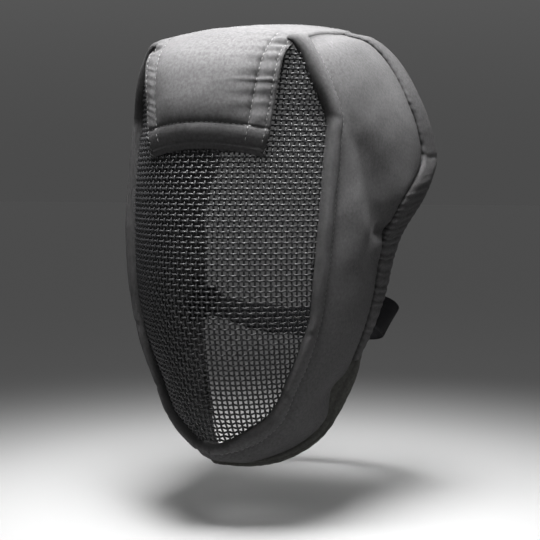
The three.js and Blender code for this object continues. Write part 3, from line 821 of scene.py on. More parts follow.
level_heights = HEIGHTS[::NET["steps"]]
column_steps = np.arange(-COLUMNS * NET["steps"], COLUMNS * NET["steps"] + 1) / NET["steps"]
level_wires = bowl_point(level_heights[:, None], column_steps[None, :] * NET["pitch"])
level_swing = -np.cos(math.pi * column_steps)[None, :] * (-1.0) ** np.arange(ROWS + 1)[:, None]
level_inside = np.abs(column_steps)[None, :] * NET["pitch"] <= REACH[::NET["steps"]][:, None]
strands("level_wires", level_wires, level_swing, level_inside)

# %% [markdown]
# ## Side panels
# A side panel is a pad sewn along its whole edge. It swells between rim and binding, has a long hollow
# behind the temple where the hood is drawn in, a second swelling in front of the rear corner,
# and a pinch where the rear edge turns in. The outer face is the straight line from seam to rear edge,
# pushed out by the swellings and in by the dent. It could be sculpted by hand, but worked out from the
# tables its edges stay on the lines that it shares with rim and binding.

# %% Panel face
EDGE = {"round": 2.6, "steps": 6, "first_turn": 10, "most": 0.42}
# share * (1 - share) ** 2 is highest a third of the way back, and this factor makes it 1 there.
SWELL = 6.75


def panel_depth(rows):
    """Straight distance from the seam to the rear edge."""
    return np.linalg.norm(rear_line(rows) - seam_line(rows), axis=-1)


def panel_face(place, share):
    """Outer face between seam (share 0) and rear edge (share 1). It swells most a third of the way back, has
    a bell-shaped dent that follows its own line, and a second bell-shaped swelling further back."""
    lift = np.radians(pad("lift", place))
    swell = pad("bulge", place) * SWELL * share * (1 - share) ** 2
    behind = share - pad("dent_share", place)
    dent = pad("dent", place) * bump(behind, np.where(behind < 0, DENT_WIDTH["front"], DENT_WIDTH["rear"]))
    swell = swell + pad("back", place) * bump(share - BACK["share"], BACK["width"])
    seam, rear = seam_line(place), rear_line(place)
    straight = seam + (rear - seam) * share[..., None]
    push = np.stack([np.cos(lift), 0 * lift, np.sin(lift)], axis=-1)
    return straight + (swell - dent)[..., None] * push


def slab_way(length, middle_steps):
    """Distances across a padded sheet for every row, close together where its two edges round over, and
    the share of half the thickness by which the faces draw in there: one less the sine of a quarter turn."""
    turn = np.radians(np.linspace(EDGE["first_turn"], 90, EDGE["steps"]))[None, :]
    radius = np.minimum(EDGE["round"], EDGE["most"] * length)[:, None]
    near = radius * (1 - np.cos(turn))
    evenly = np.linspace(0, 1, middle_steps + 2)[None, 1:-1]
    middle = radius + (length[:, None] - 2 * radius) * evenly
    way = np.concatenate([near, middle, length[:, None] - near[:, ::-1]], axis=1)
    drawn = 1 - np.sin(turn)
    draw = np.concatenate([drawn, np.zeros((1, middle_steps)), drawn[:, ::-1]], axis=1) + 0 * way
    return way, draw


def slab_rings(face, normal, thick, draw, relief):
    """Rings of a padded sheet: out along the outer face, which carries the relief, and back along the
    inner one. Both faces draw in to the middle at the rounded edges."""
    inset = 0.5 * thick * draw
    outer = face + normal * (relief - inset)[..., None]
    inner = face - normal * (thick - inset)[..., None]
    return np.concatenate([outer, inner[:, ::-1]], axis=1)


print("panel face at the ear:", panel_face(np.array(float(ROW["ear"])), np.array(0.5)).round(1), "mm")

# %% Panel cloth at rest
SHEET = {"rows": 110, "columns": 34, "spare": 0.004, "cap": 2.0}


def panel_sheet():
    """Movement of the panel's cloth, pinned along all four edges, on a coarse grid of rows and shares."""
    rows = np.linspace(0, LAST, SHEET["rows"])
    sewn_share = 1 - pad("bind", rows) / panel_depth(rows)
    share = np.linspace(0, 1, SHEET["columns"])[None, :] * sewn_share[:, None]
    sewn = np.zeros(share.shape, bool)
    sewn[[0, -1]] = True
    sewn[:, [0, -1]] = True
    return settle(panel_face(rows[:, None] + 0 * share, share), sewn, SHEET["spare"], SHEET["cap"])


PANEL_REST = panel_sheet()
print("panel cloth moves", PANEL_REST.min().round(2), "to", PANEL_REST.max().round(2), "mm")

# %% Relief of the panel
# Spans are rows of the side table or distances in millimetres. Layers are height, length and seed.
PANEL = {"rows": 284, "middle": 84, "gap": 0.3, "under": 2.4, "under_rim": (0.8, 2.0),
         "over_hem": (12.8, 14.4), "layers": ((0.12, 46, 21), (0.1, 15, 22)), "layers_from": (0, 8),
         "inner_shade": 0.25}
GATHERED = {"begins": (5.6, 7.5), "ends": (12, 13.5)}
PULL = {"deep": 1.1, "over": 7.0, "smooth": 0.4}
SEAM_FOLDS = {"deep": 0.32, "apart": 6.4, "seed": 11, "fade": 3.5}
BIND_FOLDS = {"deep": 0.25, "gathered": 0.6, "apart": 5.8, "seed": 12, "shift": 2.8, "fade": 4.0}
PINCH = {"row": 8.7, "slope": 0.014, "deep": 2.6, "width": 0.26, "ends": (12, 26)}
LIP = {"below": 0.6, "high": 0.8, "width": 0.5, "ends": (10, 34)}
CROWN_END = {"sunk": 1.8, "rises": (0.2, 1.6)}
# Painted shade: darkness and width along the seam, the binding and the crown band's edge, and shares for fold
# valleys and the pinch.
PANEL_CREASE_SHADE = {"seam": (0.5, 1.3), "bind": (0.6, 1.6), "crown": (0.9, 0.12), "folds": 0.5, "pinch": 0.15}
UP = np.array([0.0, 0.0, 1.0])


def upright_at_crown(normal, place):
    """Outward direction that turns straight up over the first row, where the crown band lies on top."""
    share = np.clip(1 - place, 0, 1)[..., None]
    return unit(normal * (1 - share) + UP * share)


def panel_relief(place, to_seam, to_bind, seam_way, rear_way):
    """Height of the padding, and the painted shade that darkens its seams, folds, pinch and the strip under
    the crown band. The cloth is pulled down towards its seams, with the square of the nearness, and folds
    across them. It is pinched at the narrow place, with a lip below the pinch, and sinks under the crown
    band."""
    gathered = ramp(place, *GATHERED["begins"]) * (1 - ramp(place, *GATHERED["ends"]))
    rear_share = PULL["smooth"] + (1 - PULL["smooth"]) * gathered
    near_seam, near_bind = (np.clip(1 - far / PULL["over"], 0, 1) ** 2 for far in (to_seam, to_bind))
    pull = PULL["deep"] * (near_seam + rear_share * near_bind)
    seam_folds = fold_row(seam_way, SEAM_FOLDS) * np.exp(-to_seam / SEAM_FOLDS["fade"])
    bind_folds = puckers(rear_way + BIND_FOLDS["shift"], BIND_FOLDS["apart"], BIND_FOLDS["seed"])
    bind_folds = (BIND_FOLDS["deep"] + BIND_FOLDS["gathered"] * gathered) * bind_folds
    bind_folds = bind_folds * np.exp(-to_bind / BIND_FOLDS["fade"])
    from_pinch = place - PINCH["row"] + PINCH["slope"] * to_bind
    pinch = -PINCH["deep"] * bump(from_pinch, PINCH["width"]) * (1 - ramp(to_bind, *PINCH["ends"]))
    lip = LIP["high"] * bump(from_pinch - LIP["below"], LIP["width"]) * (1 - ramp(to_bind, *LIP["ends"]))
    sunk = CROWN_END["sunk"] * (1 - ramp(place, *CROWN_END["rises"]))
    # Painted shade: darker next to the seams, under the crown band, in fold valleys and in the pinch.
    lines = (("seam", to_seam), ("bind", to_bind), ("crown", place))
    at_seam, at_bind, at_crown = (PANEL_CREASE_SHADE[name][0] * bump(far, PANEL_CREASE_SHADE[name][1])
                                  for name, far in lines)
    crease = at_seam + rear_share * at_bind + at_crown
    crease = crease - PANEL_CREASE_SHADE["folds"] * (bind_folds + seam_folds) - PANEL_CREASE_SHADE["pinch"] * pinch
    return seam_folds + bind_folds + pinch + lip - pull - sunk, np.clip(crease, 0, 1)


print("the pinch lies at row", PINCH["row"], "of", LAST)

# %% Left and right panel


def panel_rings():
    """Rings of the panel, which goes on under the rim in front and under the hem below, and the painted shade
    of its creases.
    """
    rows = np.linspace(0, LAST, PANEL["rows"])
    whole = panel_depth(rows)
    under = PANEL["under"] * ramp(rows, *PANEL["under_rim"])
    length = whole - pad("bind", rows) - PANEL["gap"] + PANEL["under"] * ramp(rows, *PANEL["over_hem"])
    way, draw = slab_way(length + under, PANEL["middle"])
    way = way - under[:, None]
    share = way / whole[:, None]
    place = rows[:, None] + 0 * share
    face = panel_face(place, share)
    to_seam, to_bind = np.clip(way, 0, None), length[:, None] - way
    seam_way, rear_way = (way_along(edge(rows))[:, None] for edge in (seam_line, rear_line))
    relief, crease = panel_relief(place, to_seam, to_bind, seam_way, rear_way)
    rest = between(PANEL_REST, place / LAST * (SHEET["rows"] - 1),
                   np.clip(way / length[:, None], 0, 1) * (SHEET["columns"] - 1))
    uneven = unevenness(face, PANEL["layers"]) * ramp(np.minimum(to_seam, to_bind), *PANEL["layers_from"])
    normal = upright_at_crown(facing(face), place)
    rings = slab_rings(face, normal, pad("thick", place), draw, rest + uneven + relief)
    # The inner face, inside the hood, gets an even painted shade.
    return rings, np.concatenate([crease, PANEL["inner_shade"] + 0 * crease], axis=1)


def pair(name, made, material, cad, reach):
    """Left piece from its rings and the painted shade of its creases, ending at the middle plane, and the
    right one mirrored there.
    """
    rings, crease = made
    closed = draw_together(rings, reach)
    closed[..., 0] = np.maximum(closed[..., 0], 0.0)
    for side, mirrored in (("left", False), ("right", True)):
        piece = skin(f"{name}_{side}", closed, crease, material, [f"{cad}_{side}"], mirrored)


pair("padded_panel", panel_rings(), GREY_CLOTH, "side_panel", 0.8)

# %% [markdown]
# ## Rim
# The rim is a strip of the same cloth rolled round padding, which hides the cut ends of the wires. It turns
# corners with small mitre folds, because a straight strip can't bend flat. A curve with a bevel would make
# a plain roll, but its section would keep one form. So the rim is a stack of ovals, each between the
# mesh's edge and the seam.

# %% Left and right rim
RIM = {"rows": 420, "points": 44, "lift": 1.4, "crest": 0.28, "square": 0.92, "shy": 0.05,
       "hidden_edge": (39.5, -3.4, 129.8), "hidden_seam": (40.6, 9.2, 133.8),
       "layers": ((0.22, 30, 31), (0.12, 11, 32)), "folds": 0.45, "mitre_inside": 0.3}
# Painted shade: darker in the mitres, along the seam, in fold valleys and on the side towards the wires.
RIM_CREASE_SHADE = {"mitre": 0.55, "seam": (0.5, 0.12), "folds": 0.4, "wires": (1.0, 0.75)}
MITRES = [
    # row of the side table, depth and half length of the fold, lean along the rim
    (3.05, 0.35, 2.6, 2.0),
    (11.4, 0.7, 2.4, -2.0),
    (14.6, 0.6, 2.0, 2.0),
    (16.2, 0.45, 2.2, 1.5),
    (20.6, 0.5, 1.8, 1.0),
]


def turns(count):
    """Angles round a section, half a step off its axis, so that its points lie across from each other."""
    return ((np.arange(count) + 0.5) * 2 * math.pi / count)[None, :]


def squared(wave, power):
    """Sine or cosine with its sign kept and its size raised to a power, which makes a circle boxy."""
    return np.sign(wave) * np.abs(wave) ** power


def section(middle, across, wide, outward, high):
    """Points round sections: so far across from the middle, and so far outwards."""
    return middle[:, None] + across[:, None] * wide[..., None] + outward[:, None] * high[..., None]


def pushed(base, middle, push):
    """Points of sections, pushed away from the middle of each."""
    return base + unit(base - middle[:, None]) * push[..., None]


def rim_rings():
    """Oval sections along the rim, which starts hidden under the flap, and the painted shade of its creases.
    The outward direction is the way along crossed with the way across."""
    rows = np.linspace(-1, LAST, RIM["rows"])
    inner = spline([RIM["hidden_edge"]] + [row[1] for row in SIDE], rows + 1)
    outer = spline([RIM["hidden_seam"]] + [row[2] for row in SIDE], rows + 1)
    across = outer - inner
    out = unit(np.cross(np.gradient(inner + outer, axis=0), across))
    half = np.linalg.norm(across, axis=-1)[:, None] / 2 - RIM["shy"]
    middle = (inner + outer) / 2 + RIM["lift"] * out
    angle = turns(RIM["points"])
    wide = squared(np.cos(angle), RIM["square"])
    high = squared(np.sin(angle), RIM["square"]) * (1 - RIM["crest"] * np.cos(angle))
    base = section(middle, unit(across), half * wide, out, pad("roll", rows)[:, None] * high)
    along = way_along((inner + outer) / 2)[:, None]
    fold = 0 * (angle + along)
    for row, depth, length, lean in MITRES:
        centre = np.interp(row, rows, along[:, 0])
        fold = fold + depth * bump(along - centre - lean * np.cos(angle), length)
    outside = np.clip(high, 0, 1)
    near_seam = np.clip(np.cos(angle), 0, 1) ** 3
    seam_folds = RIM["folds"] * puckers(along, SEAM_FOLDS["apart"], SEAM_FOLDS["seed"]) * near_seam
    mitre = fold * (RIM["mitre_inside"] + (1 - RIM["mitre_inside"]) * outside)
    rings = pushed(base, middle, unevenness(base, RIM["layers"]) + seam_folds - mitre)
    # Painted shade: darker in the seam groove, on the side that meets the wires, in the mitres and in fold
    # valleys.
    seam_shade, wire_side_shade = (depth * bump(1 + way * np.cos(angle), width) for way, (depth, width) in
                              ((-1, RIM_CREASE_SHADE["seam"]), (1, RIM_CREASE_SHADE["wires"])))
    crease = RIM_CREASE_SHADE["mitre"] * fold * outside + seam_shade - RIM_CREASE_SHADE["folds"] * seam_folds + wire_side_shade
    return rings, np.clip(crease, 0, 1)


rim, rim_shade = rim_rings()
pair("padded_rim", (rim, rim_shade), GREY_CLOTH, "rim", 1.0)

# %% [markdown]
# ## Binding
# A strip of tape is folded round the panels' rear edge. Sewn round the outward corner it lies smooth, with
# one fold at the corner itself. Below, where the edge curves inwards, the tape is widest, has too much
# length and gathers into ridges across it. Every section is a boxy oval that lies on the straight line
# between two points of the panel's face, so the tape is flat where the panel behind it would be round, and
# below the corner its front edge goes on a little under the panel.

# %% Left and right binding
BIND = {"rows": 420, "points": 48, "half": 4.6, "last": 13.2, "tucked": 3.2, "tucks": (6.0, 7.0),
        "chord": 0.8, "least_chord": 0.07, "stencil": (0.8, 0.1, 3),
        "layers": ((0.2, 28, 41), (0.12, 9, 42))}
# The tape stands flush and flat above the corner, and proud and puffy below it.
STAND = {"sunk": 1.8, "flush": 1.2, "rises": (4.6, 6.6), "flat": 0.46, "puffy": 0.62, "puffs": (5.5, 7.5),
         "thin": 0.55, "thickens": (0, 1.5)}
GATHER = {"begins": (6.3, 7.6), "ends": (11.2, 12.8), "kept": 0.7, "deep": 2.0, "all": 0.75, "seam": 0.25,
          "edge": 0.55, "smooth": 0.5}
MITRE = {"deep": 0.8, "lean": 3.0, "width": 1.9}
# Painted shade: darker at the corner fold, in the gathers and along the seam side.
BIND_CREASE_SHADE = {"mitre": 0.3, "gather": 0.4, "seam": (0.5, 0.12)}


def binding_rings():
    """Boxy oval sections along the rear edge, as wide as the tape, with gathers where it curves inwards, and
    the painted shade of its folds.
    """
    rows = np.linspace(0, BIND["last"], BIND["rows"])
    wide = pad("bind", rows)
    rear = panel_face(rows, np.ones_like(rows))
    chord = np.maximum(BIND["chord"] * wide / panel_depth(rows), BIND["least_chord"])
    out = unit(rear - panel_face(rows, 1 - chord))
    shares = 1 - np.linspace(*BIND["stencil"])[None, :] * chord[:, None]
    strip = panel_face(rows[:, None] + 0 * shares, shares)
    normal = upright_at_crown(facing(strip)[:, 1], rows)
    sunk = STAND["sunk"] + STAND["flush"] * (1 - ramp(rows, *STAND["rises"]))
    wide = wide + BIND["tucked"] * ramp(rows, *BIND["tucks"])
    middle = rear - out * wide[:, None] / 2 - normal * sunk[:, None]
    angle = turns(BIND["points"])
    cosine = np.cos(angle)
    boxy = (STAND["flat"] + (STAND["puffy"] - STAND["flat"]) * ramp(rows, *STAND["puffs"]))[:, None]
    thick = BIND["half"] * (STAND["thin"] + (1 - STAND["thin"]) * ramp(rows, *STAND["thickens"]))[:, None]
    base = section(middle, out, 0.5 * wide[:, None] * squared(cosine, boxy),
                   normal, thick * squared(np.sin(angle), boxy))
    along, place = way_along(rear)[:, None], rows[:, None]
    gathered = ramp(place, *GATHER["begins"]) * (1 - GATHER["kept"] * ramp(place, *GATHER["ends"]))
    near_seam, near_edge = (np.clip(way * cosine, 0, 1) ** 2 for way in (-1, 1))
    folds = puckers(along - BIND_FOLDS["shift"] * cosine, BIND_FOLDS["apart"], BIND_FOLDS["seed"])
    share = GATHER["all"] + GATHER["seam"] * near_seam - GATHER["edge"] * near_edge
    gather = (GATHER["deep"] * gathered * share + GATHER["smooth"] * near_seam * (1 - gathered)) * folds
    corner = np.interp(ROW["rear corner"], rows, along[:, 0])
    mitre = MITRE["deep"] * bump(along - corner - MITRE["lean"] * cosine, MITRE["width"])
    rings = pushed(base, middle, unevenness(base, BIND["layers"]) + gather - mitre)
    # Painted shade in the corner fold, the gathers and along the seam side.
    depth, width = BIND_CREASE_SHADE["seam"]
    crease = BIND_CREASE_SHADE["mitre"] * mitre - BIND_CREASE_SHADE["gather"] * gather + depth * bump(1 + cosine, width)
    return rings, np.clip(crease, 0, 1)


pair("gathered_binding", binding_rings(), GREY_TAPE, "binding", 1.2)

# %% [markdown]
# ## Hem and tail
# Under the jaw the lower edge is rolled into a hem of coarser cloth. Behind the notch its end widens into a
# small tail that lies against the neck. It is a stack of ovals like the rim, along a table of its own, so
# the round roll can flatten into the tail.

# %% Left and right hem
HEM = [
    # at, point, half sizes across and deep
    ("chin", (-1.6, -4.8, -119.4), 2.0, 2.4),
    ("chin side", (3.8, -1.8, -119.9), 2.2, 2.8),
    ("chin curve", (9.8, 6.6, -121.0), 3.0, 3.7),
    ("under lip", (20.6, 24.4, -121), 3.7, 4.3),
    ("side of chin", (30.4, 35.6, -117.2), 3.8, 4.5),
    ("jaw", (38.6, 45, -110.6), 4.0, 4.5),
    ("notch foot", (44.6, 54.2, -101), 5.0, 3.8),
    ("tail", (46.6, 56.6, -89.5), 9.4, 2.6),
    ("tail top", (51.4, 62.6, -76.5), 9.0, 2.4),
    ("tail end", (56.8, 69.0, -63.6), 6.2, 2.2),
    ("tail tip", (60.4, 74.2, -54.5), 2.2, 1.5),
]
HEM_ROLL = {"rows": 260, "points": 40, "layers": ((0.18, 24, 51), (0.1, 8, 53))}
# The crease share of each is painted shade in the seam groove and in fold valleys.
HEM_SEAM = {"deep": 0.7, "off": 0.2, "width": 0.16, "crease": 0.6}
HEM_PUCKERS = {"deep": 0.25, "lean": 2, "apart": 8.0, "seed": 52, "crease": 0.4}


def hem_rings():
    """Oval sections along the hem, with a seam on the outer side. Its outward direction is the way along
    crossed with up."""
    rows = np.linspace(0, len(HEM) - 1, HEM_ROLL["rows"])
    line = spline([row[1] for row in HEM], rows)
    tangent = unit(np.gradient(line, axis=0))
    out = unit(np.cross(tangent, UP))
    down = np.cross(out, tangent)
    wide, deep = (column([row[k] for row in HEM], rows)[:, None] for k in (2, 3))
    angle = turns(HEM_ROLL["points"])
    base = section(line, down, wide * np.cos(angle), out, deep * np.sin(angle))
    along = way_along(line)[:, None]
    seam = HEM_SEAM["deep"] * bump(np.cos(angle) + HEM_SEAM["off"], HEM_SEAM["width"]) * (np.sin(angle) > 0)
    folds = fold_row(along + HEM_PUCKERS["lean"] * np.cos(angle), HEM_PUCKERS)
    rings = pushed(base, line, unevenness(base, HEM_ROLL["layers"]) + folds - seam)
    # Painted shade in the seam groove and in fold valleys.
    return rings, np.clip(HEM_SEAM["crease"] * seam - HEM_PUCKERS["crease"] * folds, 0, 1) + 0 * along


pair("rolled_hem", hem_rings(), HEM_CLOTH, "hem", 1.0)

# %% [markdown]
# ## Forehead flap and crown band
# One long padded strip starts as a flap over the top of the mesh, folds at the hairline and runs back over
# the crown. Two rows of stitching down each side make a channel that draws up into cross folds, a third
# row runs above the hem, and between them the padding swells like a pillow. A painted displacement map
# could give that. Here it is relief on one grid, by distance from the side edge and from the hem, so the
# folds stay tied to their rows of stitches.

# %% Strip and its relief
CROWN = [
    # at, depth, height, half width, fall of the sides behind and below the middle, thickness
    ("flap hem", -38.4, 76, 41.8, 13, 3.6, 6.2),
    ("flap stitch", -37.6, 88, 43.3, 15.4, 3.2, 5),
    ("flap middle", -34.4, 107, 45.5, 15.4, 2.2, 4.6),
    ("flap top", -28.6, 123, 47.2, 11, 1.8, 4.6),
    ("fold below", -21, 134.2, 48.2, 7, 1.6, 4.6),
    ("fold", -11.2, 142.4, 48.9, 4.8, 1.8, 4.6),
    ("fold above", 1, 147.6, 50, 3.6, 1.0, 4.6),
    ("band front", 16, 150.4, 46.8, 3.6, 0, 4.6),
    ("band", 44, 154.4, 46.8, 3.6, 0, 4.6),
    ("crown", 74, 158.4, 46.8, 3.6, 0, 4.6),
    ("band rear", 98, 160.6, 46.8, 3.6, 0, 4.6),
]
CROWN_LAST = len(CROWN) - 1
BAND_FROM = 6
BESIDE_PANEL = 0.4


def strip_line(rows):
    """Middle line of the strip, its inward direction, half width, and fall of the sides. Over the crown the
    half width and the fall follow the panels' top edges."""
    line = spline([(0, row[1], row[2]) for row in CROWN], rows)
    tangent = unit(np.gradient(line, axis=0))
    inward = np.stack([0 * rows, tangent[:, 2], -tangent[:, 1]], axis=-1)
    front, rear = seam_line(0.0)[1], rear_line(0.0)[1]
    top = panel_face(0 * rows, np.clip((line[:, 1] - front) / (rear - front), 0, 1))
    on_band = np.clip(rows - BAND_FROM, 0, 1)
    half, sag = (np.interp(rows, np.arange(len(CROWN)), [row[k] for row in CROWN]) for k in (3, 4))
    half = half + (top[:, 0] - BESIDE_PANEL - half) * on_band
    sag = sag + (line[:, 2] - top[:, 2] - sag) * on_band
    return line, inward, half, sag


def strip_face(rows, across):
    """Outer face of the strip: the middle line, drawn inwards and down with the square of the share
    across."""
    line, inward, half, sag = strip_line(rows)
    droop = column([row[5] for row in CROWN], rows)
    face = line[:, None] + inward[:, None] * (sag[:, None] * across ** 2)[..., None]
    face[..., 0] += half[:, None] * across
    face[..., 2] -= droop[:, None] * across ** 2
    return face


print("strip of", round(way_along(strip_line(np.linspace(0, CROWN_LAST, 200))[0])[-1]), "mm")

# %% Relief of the flap
# Distances in millimetres from the side edge or from the hem. Pairs are a height and a width.
FLAP = {"rows": 300, "middle": 144, "hem_fold": 2.3, "hem_stitch": 14.0, "edge_stitch": 2.6, "channel": 11.5,
        "front_ends": (76, 92)}
PILLOW = {"high": 4.4, "from_side": 6.5, "from_hem": 12.0, "flatter": 0.8, "flattens": (44, 78), "sink": 0.7}
CHANNEL_PUFF = 0.5
# The dark value is painted shade, growing towards the bottom of the hem band below the pillow.
HEM_BAND = {"high": 0.4, "round": 0.8, "tuck": 4.5, "tuck_bend": 1.6, "lip_at": 1.1, "lip": (0.3, 0.9),
            "dark": 0.3}
# The first of two values belongs to the left channel, the second to the right one.
SIDE_FOLDS = {"lean": (0.25, 0.55), "fade": (9.0, 2.2), "deep": (0.55, 0.25), "apart": (8.2, 5.6),
              "seed": (61, 64), "from_side": (-1.0, 4.0), "from_hem": (12, 20), "relief": 1.2}
HEM_FOLDS = {"deep": 0.3, "apart": 7.0, "seed": 63, "width": 3.5, "other_side": 300}
GROOVES = {"edge": (0.45, 0.8), "channel": (0.6, 0.9), "hem": (0.6, 0.9), "fold": (0.3, 0.7)}
CURL = {"deep": 2.2, "at": 77, "lean": 0.5, "width": 3.5, "ends": (3, 15)}
# Painted shade in the stitch grooves, fold valleys and the curl at the fold.
FLAP_CREASE_SHADE = {"grooves": 0.45, "folds": 0.5, "hem_folds": 0.3, "curl": 0.25}


def beyond(distance, fade):
    """Rise from 0 at no distance towards 1, over a fading length."""
    return 1 - np.exp(-np.clip(distance, 0, None) / fade)


def groove(name, distance):
    """Depth of a groove under a row of stitches, as a bell curve."""
    depth, width = GROOVES[name]
    return depth * bump(distance, width)


def channel_folds(from_side, along, left):
    """Cross folds of the side channels, which run out into the field."""
    to_channel = from_side - FLAP["channel"]
    lean = np.where(left, *SIDE_FOLDS["lean"]) * from_side
    fade = np.where(left, *SIDE_FOLDS["fade"])
    spread = np.where(to_channel < 0, 1.0, np.exp(-np.clip(to_channel, 0, None) / fade))
    spread = spread * ramp(from_side, *SIDE_FOLDS["from_side"]) * ramp(along, *SIDE_FOLDS["from_hem"])
    settings = zip(SIDE_FOLDS["deep"], SIDE_FOLDS["apart"], SIDE_FOLDS["seed"])
    left_folds, right_folds = (deep * puckers(along + lean, apart, seed) for deep, apart, seed in settings)
    return np.where(left, left_folds, right_folds) * spread


def flap_relief(from_side, along, left):
    """Height of the padding and its painted shade: pillows between the rows of stitching, a hem band that
    rolls under, cross folds in the side channels, a groove under every row of stitches, and side edges that
    curl in at the fold. The painted shade darkens grooves, fold valleys and the curl, and grows towards the
    bottom of the hem band."""
    front = 1 - ramp(along, *FLAP["front_ends"])
    to_channel = from_side - FLAP["channel"]
    to_stitch = along - FLAP["hem_stitch"]
    above_hem = to_stitch > 0
    pillow = PILLOW["high"] * beyond(to_channel, PILLOW["from_side"]) * beyond(to_stitch, PILLOW["from_hem"])
    pillow = pillow * (1 - PILLOW["flatter"] * ramp(along, *PILLOW["flattens"]))
    in_channel = np.clip((from_side - FLAP["edge_stitch"]) / (FLAP["channel"] - FLAP["edge_stitch"]), 0, 1)
    side = CHANNEL_PUFF * np.sin(math.pi * in_channel) * above_hem
    in_band = np.clip((along - FLAP["hem_fold"]) / (FLAP["hem_stitch"] - FLAP["hem_fold"]), 0, 1)
    below = np.clip(1 - along / FLAP["hem_stitch"], 0, 1)
    lip, lip_width = HEM_BAND["lip"]
    band = HEM_BAND["high"] * np.sin(math.pi * in_band) ** HEM_BAND["round"]
    band = band - HEM_BAND["tuck"] * below ** HEM_BAND["tuck_bend"]
    band = band + lip * bump(along - HEM_BAND["lip_at"], lip_width)
    folds = channel_folds(from_side, along, left)
    hem_folds = fold_row(from_side + HEM_FOLDS["other_side"] * left, HEM_FOLDS)
    hem_folds = hem_folds * bump(to_stitch, HEM_FOLDS["width"])
    grooves = (groove("edge", from_side - FLAP["edge_stitch"]) + groove("channel", to_channel)) * above_hem
    grooves = grooves + groove("hem", to_stitch) + groove("fold", along - FLAP["hem_fold"])
    curl = CURL["deep"] * bump(along - CURL["at"] + CURL["lean"] * from_side, CURL["width"])
    curl = curl * (1 - ramp(from_side, *CURL["ends"]))
    relief = pillow + side + band + SIDE_FOLDS["relief"] * folds + hem_folds - grooves - PILLOW["sink"]
    # Painted shade: darker in the grooves, towards the bottom of the hem band, in fold valleys and in the
    # curl.
    crease = FLAP_CREASE_SHADE["grooves"] * grooves + HEM_BAND["dark"] * below
    crease = crease - FLAP_CREASE_SHADE["folds"] * folds - FLAP_CREASE_SHADE["hem_folds"] * hem_folds
    return relief * front - curl, np.clip(crease, 0, 1) * front + FLAP_CREASE_SHADE["curl"] * curl


print("flap relief ready")

# %% Flap cloth at rest
FLAP_SHEET = {"rows": 64, "columns": 27, "spare": 0.008, "cap": 1.6, "edge": 3, "beside_stitch": 1.9}


def flap_sheet():
    """Movement of the strip's cloth, pinned along its edges and its rows of stitching, on a coarse grid."""
    rows = np.linspace(0, CROWN_LAST, FLAP_SHEET["rows"])
    line, _, half, _ = strip_line(rows)
    across = np.linspace(-1, 1, FLAP_SHEET["columns"])[None, :] + 0 * rows[:, None]
    from_side = half[:, None] * (1 - np.abs(across))
    along = way_along(line)[:, None] + 0 * across
    at_channel = np.abs(from_side - FLAP["channel"]) < FLAP_SHEET["beside_stitch"]
    sewn = (from_side < FLAP_SHEET["edge"]) | at_channel | (along < FLAP["hem_stitch"])
    sewn[-1] = True
    flipped = strip_face(rows, across)[:, ::-1]
    return settle(flipped, sewn[:, ::-1], FLAP_SHEET["spare"], FLAP_SHEET["cap"])[:, ::-1]


FLAP_REST = flap_sheet()
print("flap cloth moves", FLAP_REST.min().round(2), "to", FLAP_REST.max().round(2), "mm")

# %% Flap and band
FLAP_CLOTH = {"layers": ((0.15, 38, 65), (0.1, 12, 66)), "layers_from": (0, 8), "rest_less": 0.6,
              "rest_fades": (50, 85), "inner_shade": 0.3}

rows = np.linspace(0, CROWN_LAST, FLAP["rows"])
line, _, half, _ = strip_line(rows)
thick = column([row[6] for row in CROWN], rows)[:, None]
way, draw = slab_way(2 * half, FLAP["middle"])
across = way / half[:, None] - 1
strip = strip_face(rows, across)
strip_out = -facing(strip)
along = way_along(line)[:, None]
from_side = np.minimum(way, 2 * half[:, None] - way)
relief, crease = flap_relief(from_side, along + 0 * way, across > 0)
rest = between(FLAP_REST, rows[:, None] / CROWN_LAST * (FLAP_SHEET["rows"] - 1) + 0 * way,
               (across + 1) / 2 * (FLAP_SHEET["columns"] - 1))
rest = rest * (1 - FLAP_CLOTH["rest_less"] * ramp(along, *FLAP_CLOTH["rest_fades"]))
uneven = unevenness(strip, FLAP_CLOTH["layers"]) * ramp(from_side, *FLAP_CLOTH["layers_from"])
relief = relief + rest + uneven
flap = draw_together(slab_rings(strip, strip_out, thick, draw, relief), 2.0)
# The inner face, under the flap, gets an even painted shade.
flap_shade = np.concatenate([crease, FLAP_CLOTH["inner_shade"] + 0 * crease], axis=1)
flap_piece = skin("padded_flap", flap, flap_shade, GREY_CLOTH, ["top_flap"])

# %% [markdown]
# ## Strap
# A band of black webbing is sewn inside both panels and goes round the nape. Its middle line is a smooth
# curve through a few points, and its section is a flat bar with fine ribs along it. A curve with a bevel
# object would do too. In a stack of sections each one can lean by its own angle to lie against the neck.

# %% Webbing round the nape
STRAP = {"half": 11.0, "thin": 1.0, "row": 11.7, "sunk": 11.6, "rows": 300, "points": 40, "rib": 1.5,
         "rib_deep": 0.18, "square": 14, "edge": 0.06}
SEWN = [
    # share of the way back on the panel, lean of the upper edge outwards in degrees
    (0.66, -6), (0.82, -6), (0.98, -3),
]
NAPE = [
    # point, lean
    ((62.6, 106, -33.5), 20), ((61.6, 122.5, -39.5), 32), ((52, 143, -45.5), 26),
    ((31, 160, -49), 14), ((0, 167, -50), 8),
]
STENCIL = {"row": 0.12, "share": 0.02}


def under_panel(share):
    """Point below the panel's face where the webbing is sewn: down from the middle of a stencil of nine."""
    steps = np.array([-1, 0, 1])
    stencil = panel_face(STRAP["row"] + STENCIL["row"] * steps[:, None] + 0.0 * steps,
                         share + STENCIL["share"] * steps[None, :] + 0.0 * steps[:, None])
    return stencil[1, 1] - STRAP["sunk"] * facing(stencil)[1, 1]


